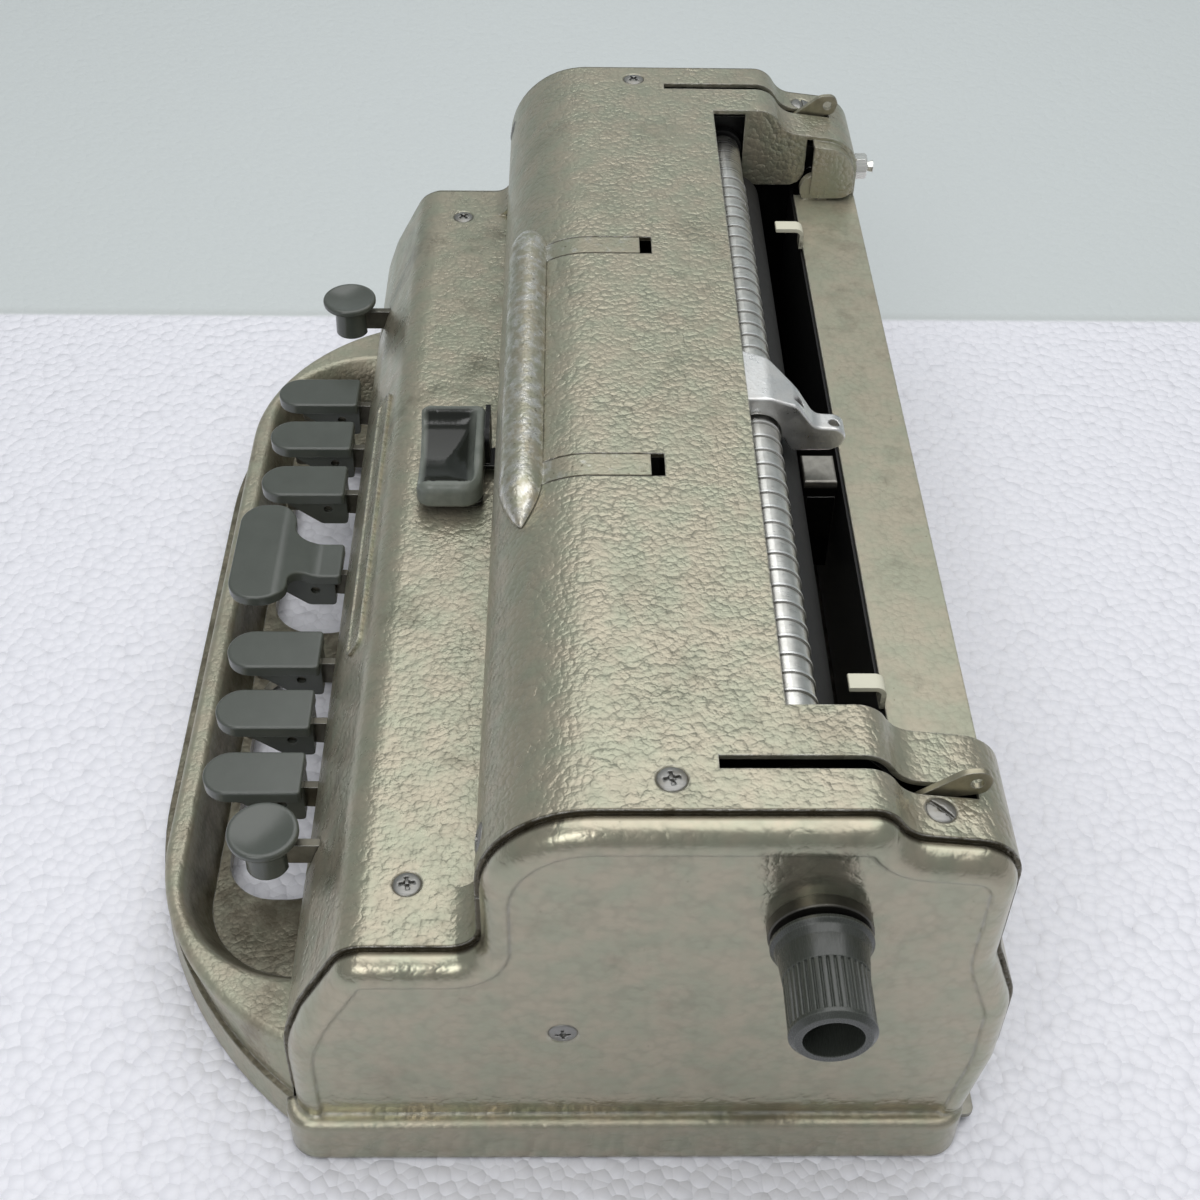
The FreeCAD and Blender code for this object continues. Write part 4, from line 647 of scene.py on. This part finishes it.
def rounded_outline(low, high, radii, steps, inset=0.0):
    """Points round a rectangle whose corners have these radii, all drawn in by the inset."""
    points = []
    for quarter, radius in enumerate(radii):
        centre = Vector((high[0] - radius if quarter in (0, 3) else low[0] + radius,
                         high[1] - radius if quarter in (0, 1) else low[1] + radius))
        for step in range(steps + 1):
            angle = (quarter + step / steps) * math.pi / 2
            points.append(centre + (radius - inset) * Vector((math.cos(angle), math.sin(angle))))
    return points


def skin_rings(shape, rings):
    """Faces from each ring of vertices to the next, and one face under the first."""
    for lower, upper in zip(rings, rings[1:]):
        for index, corner in enumerate(lower):
            following = (index + 1) % len(lower)
            shape.faces.new((corner, lower[following], upper[following], upper[index]))
    shape.faces.new(list(reversed(rings[0])))


class Tree:
    """A Geometry Nodes tree under construction."""

    def __init__(self, name):
        self.tree = bpy.data.node_groups.new(name, "GeometryNodeTree")
        self.tree.interface.new_socket("Geometry", in_out="OUTPUT", socket_type="NodeSocketGeometry")
        self.entry = self.tree.nodes.new("NodeGroupInput")
        self.exit = self.tree.nodes.new("NodeGroupOutput")
        self.given = {}
        self.geometry = self.take("Geometry", "NodeSocketGeometry")

    def take(self, name, kind, value=None):
        """Add a named input and return its socket inside the tree."""
        socket = self.tree.interface.new_socket(name, in_out="INPUT", socket_type=kind)
        if value is not None:
            self.given[socket.identifier] = value
        return next(out for out in self.entry.outputs if out.identifier == socket.identifier)

    def node(self, kind, links=(), **fields):
        """Add a node, set its fields and feed its sockets from (name or number, value) pairs."""
        made = self.tree.nodes.new(kind)
        for field, value in fields.items():
            setattr(made, field, value)
        for key, value in links:
            if isinstance(value, bpy.types.NodeSocket):
                self.tree.links.new(value, made.inputs[key])
            else:
                made.inputs[key].default_value = value
        return made

    def attribute(self, name, data_type):
        """A named attribute of the points."""
        made = self.node("GeometryNodeInputNamedAttribute", [("Name", name)], data_type=data_type)
        return made.outputs["Attribute"]

    def moved(self, geometry, place, turn=(0, 0, 0)):
        return self.node("GeometryNodeTransform", [("Geometry", geometry), ("Rotation", turn),
                                                   ("Translation", place)]).outputs[0]

    def applied(self, piece, outcome):
        """Run the tree on an object and keep the result as its mesh."""
        self.tree.links.new(outcome, self.exit.inputs[0])
        modifier = piece.modifiers.new("build", "NODES")
        modifier.node_group = self.tree
        for identifier, value in self.given.items():
            modifier[identifier] = value
        ready = piece.evaluated_get(bpy.context.evaluated_depsgraph_get())
        mesh = bpy.data.meshes.new_from_object(ready)
        piece.modifiers.remove(modifier)
        piece.data = mesh


# ---------------------------------------------------------------- cover screws
def screw_spots():
    """Place, outward direction, turn and kind of each cover screw, on both ends of the machine."""
    lean = math.radians(14)
    slope = 28.0
    shoulder = (166.0, 13.4 - slope * math.cos(lean), 108.5 + slope * math.sin(lean))
    left_turn = 0.9
    right_end = (
        ((156.3, -32.8, 84.5), (0, 0, 1), 0.15, False),
        ((166.0, 30.6, 136.5), (0, 0, 1), 0.20, False),
        (shoulder, (0, -math.cos(lean), math.sin(lean)), 0.5, False),
        ((167.0, 92.8, 126.85), (0, 0.12, 1), 0.85, True),
        ((181.1, 6.2, 55.6), (1, 0, 0), 0.08, False),
    )
    spots = []
    for (x, y, z), (out_x, out_y, out_z), turn, slotted in right_end:
        for side in (1, -1):
            own_turn = side * turn + (left_turn if side < 0 else 0)
            place, outward = Vector((side * x, y, z)) * MM, Vector((side * out_x, out_y, out_z))
            spots.append((place, outward, own_turn, slotted))
    return spots


def screw_profile(radius):
    """Half section of a screw: a low domed head with a thin rim, its taper and its shank."""
    dome = ((0, 0.45), (0.35, 0.41), (0.65, 0.27), (0.88, 0.05), (0.98, -0.12), (1, -0.30), (1, -0.42))
    shank = ((1.85, -2.2), (1.8, -2.6), (1.8, -8), (0, -8))
    head = [(share * radius, height * MM) for share, height in dome]
    return head + [(wide * MM, height * MM) for wide, height in shank]


def screw_tree(head, material):
    """Tree that cuts the recesses into a screw and sets one on each point."""
    fittings = bpy.context.scene.writer_fittings
    head_top, tip_depth, slot_reach, slot_width = 0.45 * MM, 1.6 * MM, 5.0, 1.3
    tree = Tree("cover_screw_layout")
    screw = tree.take("Screw", "NodeSocketObject", head)
    reach = tree.take("Recess reach", "NodeSocketFloat", fittings.recess_reach)
    width = tree.take("Recess width", "NodeSocketFloat", fittings.recess_width)
    depth = tree.take("Recess depth", "NodeSocketFloat", fittings.recess_depth)
    finish = tree.take("Finish", "NodeSocketMaterial", material)
    solid = tree.node("GeometryNodeObjectInfo", [("Object", screw)]).outputs["Geometry"]

    def times(value, factor=2.0):
        return tree.node("ShaderNodeMath", [(0, value), (1, factor)], operation="MULTIPLY").outputs[0]

    def cutter(long, wide, turn):
        size = tree.node("ShaderNodeCombineXYZ", [(0, long), (1, wide), (2, times(depth))]).outputs[0]
        block = tree.node("GeometryNodeMeshCube", [("Size", size)]).outputs["Mesh"]
        return tree.moved(block, (0, 0, head_top), (0, 0, turn))

    cone = [("Vertices", 12), ("Radius Top", 1.15 * MM), ("Radius Bottom", 0.3 * MM), ("Depth", 2.4 * MM)]
    tip = tree.node("GeometryNodeMeshCone", cone).outputs["Mesh"]
    cross = [cutter(times(reach), width, turn) for turn in (0, math.pi / 2)]
    cross.append(tree.moved(tip, (0, 0, -tip_depth)))
    slot = [cutter(times(reach, slot_reach), times(width, slot_width), 0)]
    slotted = tree.attribute("slotted", "BOOLEAN")
    crossed = tree.node("FunctionNodeBooleanMath", [(0, slotted)], operation="NOT").outputs[0]
    turn = tree.node("FunctionNodeEulerToRotation", [(0, tree.attribute("turn", "FLOAT_VECTOR"))]).outputs[0]
    together = tree.node("GeometryNodeJoinGeometry")
    for cutters, chosen in ((cross, crossed), (slot, slotted)):
        cut = tree.node("GeometryNodeMeshBoolean", [("Mesh 1", solid)], operation="DIFFERENCE")
        for piece in cutters:
            tree.tree.links.new(piece, cut.inputs["Mesh 2"])
        row = tree.node("GeometryNodeInstanceOnPoints", [
            ("Points", tree.geometry), ("Selection", chosen), ("Instance", cut.outputs["Mesh"]),
            ("Rotation", turn)]).outputs["Instances"]
        tree.tree.links.new(row, together.inputs[0])
    real = tree.node("GeometryNodeRealizeInstances", [("Geometry", together.outputs[0])]).outputs[0]
    painted = tree.node("GeometryNodeSetMaterial", [("Geometry", real), ("Material", finish)]).outputs[0]
    return tree, painted


# ---------------------------------------------------------------- finger scoop, in millimetres
def scoop_height(x, y):
    """Height of the scoop's upper face over its foot: a trough along Y that the rear wall closes."""
    floor, far_top, near_top = 2.0, 10.7, 7.9
    far_edge, near_edge, rear_edge = -18.4, 13.4, -21.6
    end_reach, rear_reach, roundness = 15.0, 10.0, 2.4
    slope_foot, slope_length = 15.6, 11.6

    def bank(distance, reach, top):
        return (top - floor) * (1 - math.sqrt(1 - (1 - clamped(distance / reach)) ** 2))

    slope = clamped((slope_foot - x) / slope_length)
    rear_top = near_top + (far_top - near_top) * slope * slope * (3 - 2 * slope)
    banks = (bank(x - far_edge, end_reach, far_top), bank(near_edge - x, end_reach, near_top),
             bank(rear_edge - y, rear_reach, rear_top))
    height = floor + sum(value ** roundness for value in banks) ** (1 / roundness)
    return min(height, rear_top)


def scoop_outline(low, high):
    """Points a short way apart round the scoop's foot, whose corners differ."""
    spacing = 0.7
    outline = rounded_outline(low, high, radii=(6.5, 2.8, 3.2, 5.0), steps=10)
    points = []
    for first, second in zip(outline, outline[1:] + outline[:1]):
        parts = max(1, round((second - first).length / spacing))
        points += [first.lerp(second, part / parts) for part in range(parts)]
    return points


def scoop_rings(low, high):
    """Rings of points from the scoop's foot over its rounded rim and down to the middle line of its bowl."""
    outline = scoop_outline(low, high)
    foot_height, lowest, rim_radius = 0.6, 0.9, 1.3
    near_extra, near_start, near_length = 1.9, 8.0, 7.0     # the rim is rounder at its near end
    ring_count, crowding = 26, 1.6
    rings = [[(point.x, point.y, low.z + height) for point in outline] for height in (0, foot_height)]
    reach, middle_y = (high.y - low.y) / 2, (low.y + high.y) / 2
    for step in range(ring_count + 1):
        ring = []
        for point in outline:
            spine = Vector((min(max(point.x, low.x + reach), high.x - reach), middle_y))
            here = point.lerp(spine, (step / ring_count) ** crowding)
            rim = rim_radius + near_extra * clamped((here.x - near_start) / near_length)
            drop = rim - math.sqrt(max(0.0, rim ** 2 - max(0.0, rim - (here - point).length) ** 2))
            height = max(scoop_height(here.x, here.y) - drop, lowest)
            ring.append((here.x, here.y, low.z + height))
        rings.append(ring)
    return rings


# ---------------------------------------------------------------- operators
class WRITER_OT_covers(bpy.types.Operator):
    """Paint the covers, castings, tray and reading rest"""

    bl_idname = "writer.covers"
    bl_label = "Paint covers"

    def execute(self, context):
        top = hammered_paint("hammered_covers", lines=top_cover_shade)
        front = hammered_paint("hammered_front", relief=0.6, gloss=0.29, metal=0.66, coat=0.08, grime=0.7,
                               lines=cover_end_shade)
        castings = hammered_paint("hammered_castings", pebble=1.5, relief=0.42, gloss=0.21, metal=0.82,
                                  coat=0.12, lines=casting_dark_foot_and_groove_shade, rounding=2.4)
        tray = hammered_paint("hammered_tray", pebble=0.9, relief=0.6, gloss=0.36, metal=0.5, coat=0.05,
                              grime=0.5, patch=18 * MM, lines=bowl_dirt_and_shade)
        rest = hammered_paint("hammered_rest", relief=0.16, gloss=0.36, metal=0.5, coat=0.05, grime=0.35,
                              patch=16 * MM)
        dress(top, "top_cover", "back_cover")
        dress(front, "front_cover")
        dress(castings, "left_end_casting", "right_end_casting")
        dress(tray, "key_tray")
        dress(rest, "reading_rest")
        return {"FINISHED"}


class WRITER_OT_keys(bpy.types.Operator):
    """Finish the keys, the knobs and their levers"""

    bl_idname = "writer.keys"
    bl_label = "Finish keys and knobs"

    def execute(self, context):
        caps = ["dot_%d_cap" % number for number in DOTS]
        levers = ["dot_%d_lever" % number for number in DOTS]
        dress(moulded_plastic("key_moulding"), "space_cap", "line_space_button", "backspace_button", *caps)
        dress(moulded_plastic("knob_moulding", scratch=0.8, tone=0.5), "left_feed_knob", "right_feed_knob")
        dress(plated_steel("lever_plate", (0.16, 0.15, 0.12)), "space_lever", "line_space_lever",
              "backspace_lever", *levers)
        return {"FINISHED"}


class WRITER_OT_scoop(bpy.types.Operator):
    """Mould the finger scoop of the carriage lever over its solid"""

    bl_idname = "writer.scoop"
    bl_label = "Mould finger scoop"

    def execute(self, context):
        low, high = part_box("lever_scoop")
        shape = bmesh.new()
        rings = scoop_rings(low / MM, high / MM)
        skin_rings(shape, [[shape.verts.new(point) for point in ring] for ring in rings])
        bmesh.ops.remove_doubles(shape, verts=shape.verts, dist=1e-3)
        bmesh.ops.scale(shape, vec=(MM, MM, MM), verts=shape.verts)
        for face in shape.faces:
            face.smooth = True
        mesh = mesh_from("finger_scoop", shape)
        mesh.materials.append(scoop_plastic("scoop_moulding"))
        piece = object_from("finger_scoop", mesh)
        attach(piece, "carriage_lever_unit")
        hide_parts("lever_scoop")
        return {"FINISHED"}


class WRITER_OT_mechanism(bpy.types.Operator):
    """Finish the rollers, the head and everything under the covers"""

    bl_idname = "writer.mechanism"
    bl_label = "Finish mechanism"

    def execute(self, context):
        dress(ribbed_steel("roller_steel"), "ribbed_roller")
        dress(turned_steel("rail_steel"), "key_shaft", "carriage_rails")
        dress(turned_steel("bright_fittings", tone=1.1, roughness=0.2, tarnish=0.15), "rest_stop_stud")
        dress(stylus_steel("block_steel"), "stylus_block")
        dress(plated_steel("bush_steel", (0.12, 0.115, 0.10), 0.34), "knob_bushes")
        dress(cast_aluminium("cast_head"), "embossing_head")
        dress(worn_handle_metal("handle_metal"), "carrying_handle")
        dress(plated_steel("release_plate", (0.50, 0.46, 0.34)), "left_release_lever", "right_release_lever")
        dress(plated_steel("inner_plate", (0.03, 0.03, 0.03)), "carriage", "carriage_lever", "key_comb",
              "left_side_frame", "right_side_frame", "escapement_rack", "handle_brackets")
        dress(plated_steel("pan_plate", (0.30, 0.29, 0.25), 0.4), "base_pan")
        bars = ["embossing_bar_%d" % number for number in DOTS]
        dress(plated_steel("bar_plate", (0.05, 0.05, 0.05)), *bars)
        # The inner sheet's black is painted shade behind the rollers.
        dress(shade_black_sheet("inner_shade_black"), "paper_guide", "roller_bearings")
        dress(black_rubber("roller_rubber"), "feed_roller")
        dress(black_rubber("foot_rubber"), "rubber_feet")
        dress(bell_brass("bell_brass"), "margin_bell")
        dress(ivory("ivory_tab"), "paper_tabs")
        return {"FINISHED"}


class WRITER_OT_screws(bpy.types.Operator):
    """Make the cover screws with their cross recesses, and the slotted ones on the rear ledge"""

    bl_idname = "writer.screws"
    bl_label = "Make cover screws"

    def execute(self, context):
        rim_height = -0.2 * MM
        profile = screw_profile(context.scene.writer_fittings.screw_radius)
        head = object_from("screw_head", lathed("screw_head", profile))
        for face in head.data.polygons:
            face.use_smooth = face.center.z > rim_height
        spots = screw_spots()
        mesh = bpy.data.meshes.new("cover_screw_set")
        mesh.from_pydata([place for place, _, _, _ in spots], [], [])
        turns = mesh.attributes.new("turn", "FLOAT_VECTOR", "POINT")
        kinds = mesh.attributes.new("slotted", "BOOLEAN", "POINT")
        for index, (_, outward, turn, slotted) in enumerate(spots):
            aimed = outward.to_track_quat("Z", "Y").to_matrix() @ Matrix.Rotation(turn, 3, "Z")
            turns.data[index].vector = aimed.to_euler()
            kinds.data[index].value = slotted
        piece = object_from("cover_screw_set", mesh)
        tree, outcome = screw_tree(head, turned_steel("screw_steel", tone=0.36, roughness=0.36, tarnish=0.6))
        tree.applied(piece, outcome)
        bpy.data.objects.remove(head)
        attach(piece, "base")
        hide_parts("cover_screws")
        return {"FINISHED"}


class WRITER_OT_strip(bpy.types.Operator):
    """Make the bare strip with its raised rim on the front wall"""

    bl_idname = "writer.strip"
    bl_label = "Make front strip"

    def execute(self, context):
        fittings = context.scene.writer_fittings
        centre = Vector((0.8, -55.61, 70.5)) * MM
        up, outward = Vector((0, 0.4775, 0.8786)), Vector((0, -0.8786, 0.4775))
        half = Vector((fittings.strip_length, fittings.strip_height)) / 2
        corner, rim = 3.0 * MM, fittings.strip_rim
        # Inset and height of each ring: up the side, over the rim and down to the field.
        layers = [(0, -0.5 * MM), (0, 0.9 * MM), (0.2 * MM, 1.1 * MM), (rim, 1.1 * MM),
                  (rim + 0.3 * MM, 0.5 * MM)]
        shape = bmesh.new()
        rings = []
        for inset, height in layers:
            outline = rounded_outline(-half, half, (corner,) * 4, 6, inset)
            rings.append([shape.verts.new(centre + Vector((along, 0, 0)) + up * across + outward * height)
                          for along, across in outline])
        skin_rings(shape, rings)
        shape.faces.new(rings[-1])
        mesh = mesh_from("front_strip", shape)
        mesh.materials.append(hammered_paint("hammered_strip", pebble=0.8, relief=0.7, gloss=0.26, coat=0.2,
                                             grime=0.6, patch=8 * MM))
        piece = object_from("front_strip", mesh)
        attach(piece, "base")
        return {"FINISHED"}


class WRITER_OT_studio(bpy.types.Operator):
    """Set up the table, the backdrop, the lights and the camera"""

    bl_idname = "writer.studio"
    bl_label = "Set up studio"

    def execute(self, context):
        studio = context.scene.writer_studio
        self.lay_board()
        self.fill_surroundings(context.scene, studio.fill)
        self.hang_light("overhead", (-0.25, 0.15, 1.4), (0, 0, 0), 1.7, studio.overhead)
        self.hang_light("front", (1.0, -0.45, 1.05), (0, 0, 0.08), 0.6, studio.front)
        context.scene.camera = self.set_camera(studio)
        context.scene.view_settings.view_transform = "Standard"
        return {"FINISHED"}

    def lay_board(self):
        """Floor and a far wall in one mesh."""
        reach, wall_x, wall_top = 3.0, -1.6, 2.4
        corners = [(reach, -reach, 0), (reach, reach, 0), (wall_x, reach, 0), (wall_x, -reach, 0),
                   (wall_x, reach, wall_top), (wall_x, -reach, wall_top)]
        mesh = bpy.data.meshes.new("studio_floor")
        mesh.from_pydata(corners, [], [(0, 1, 2, 3), (3, 2, 4, 5)])
        mesh.materials.append(foam_board("studio_board"))
        object_from("studio_floor", mesh)

    def fill_surroundings(self, scene, strength):
        scene.world = bpy.data.worlds.new("studio_world")
        scene.world.use_nodes = True
        background = scene.world.node_tree.nodes["Background"]
        background.inputs["Color"].default_value = (0.95, 0.98, 1.0, 1)
        background.inputs["Strength"].default_value = strength

    def hang_light(self, name, place, target, size, power):
        lamp = bpy.data.lights.new(name, "AREA")
        lamp.size = size
        lamp.energy = power
        holder = object_from(name, lamp)
        holder.location = place
        aim = Vector(target) - Vector(place)
        holder.rotation_euler = aim.to_track_quat("-Z", "Y").to_euler()

    def set_camera(self, studio):
        """Camera turned by the azimuth, elevation and roll of the studio settings."""
        lens = bpy.data.cameras.new("view")
        lens.sensor_width = 36
        lens.lens = studio.lens
        lens.clip_start = 0.01
        camera = object_from("view", lens)
        level = math.cos(studio.elevation)
        forward = Vector((-math.cos(studio.azimuth) * level, -math.sin(studio.azimuth) * level,
                          -math.sin(studio.elevation)))
        right = forward.cross(Vector((0, 0, 1))).normalized()
        up = right.cross(forward)
        right, up = (math.cos(studio.roll) * right + math.sin(studio.roll) * up,
                     math.cos(studio.roll) * up - math.sin(studio.roll) * right)
        turn = Matrix((right, up, -forward)).transposed().to_4x4()
        camera.matrix_world = Matrix.Translation(Vector(studio.camera_place)) @ turn
        return camera


class WRITER_PT_panel(bpy.types.Panel):
    """Sizes, colours and steps of the braille writer"""

    bl_idname = "WRITER_PT_panel"
    bl_label = "Braille writer"
    bl_space_type = "VIEW_3D"
    bl_region_type = "UI"
    bl_category = "Writer"

    def draw(self, context):
        for group in GROUPS:
            column = self.layout.column(align=True)
            settings = getattr(context.scene, group)
            for name in settings.__annotations__:
                column.prop(settings, name)
        for operator in STEPS:
            self.layout.operator(operator.bl_idname)


GROUPS = {"writer_paint": WriterPaint, "writer_plastic": WriterPlastic, "writer_metal": WriterMetal,
          "writer_fittings": WriterFittings, "writer_studio": WriterStudio}
STEPS = (WRITER_OT_covers, WRITER_OT_keys, WRITER_OT_scoop, WRITER_OT_mechanism, WRITER_OT_screws,
         WRITER_OT_strip, WRITER_OT_studio)


def register():
    for name, group in GROUPS.items():
        bpy.utils.register_class(group)
        setattr(bpy.types.Scene, name, bpy.props.PointerProperty(type=group))
    for step in STEPS:
        bpy.utils.register_class(step)
    bpy.utils.register_class(WRITER_PT_panel)


def unregister():
    bpy.utils.unregister_class(WRITER_PT_panel)
    for step in reversed(STEPS):
        bpy.utils.unregister_class(step)
    for name, group in GROUPS.items():
        delattr(bpy.types.Scene, name)
        bpy.utils.unregister_class(group)


def main():
    """Run every step in order."""
    register()
    bpy.ops.writer.covers()
    bpy.ops.writer.keys()
    bpy.ops.writer.scoop()
    bpy.ops.writer.mechanism()
    bpy.ops.writer.screws()
    bpy.ops.writer.strip()
    bpy.ops.writer.studio()


if __name__ == "__main__":
    main()
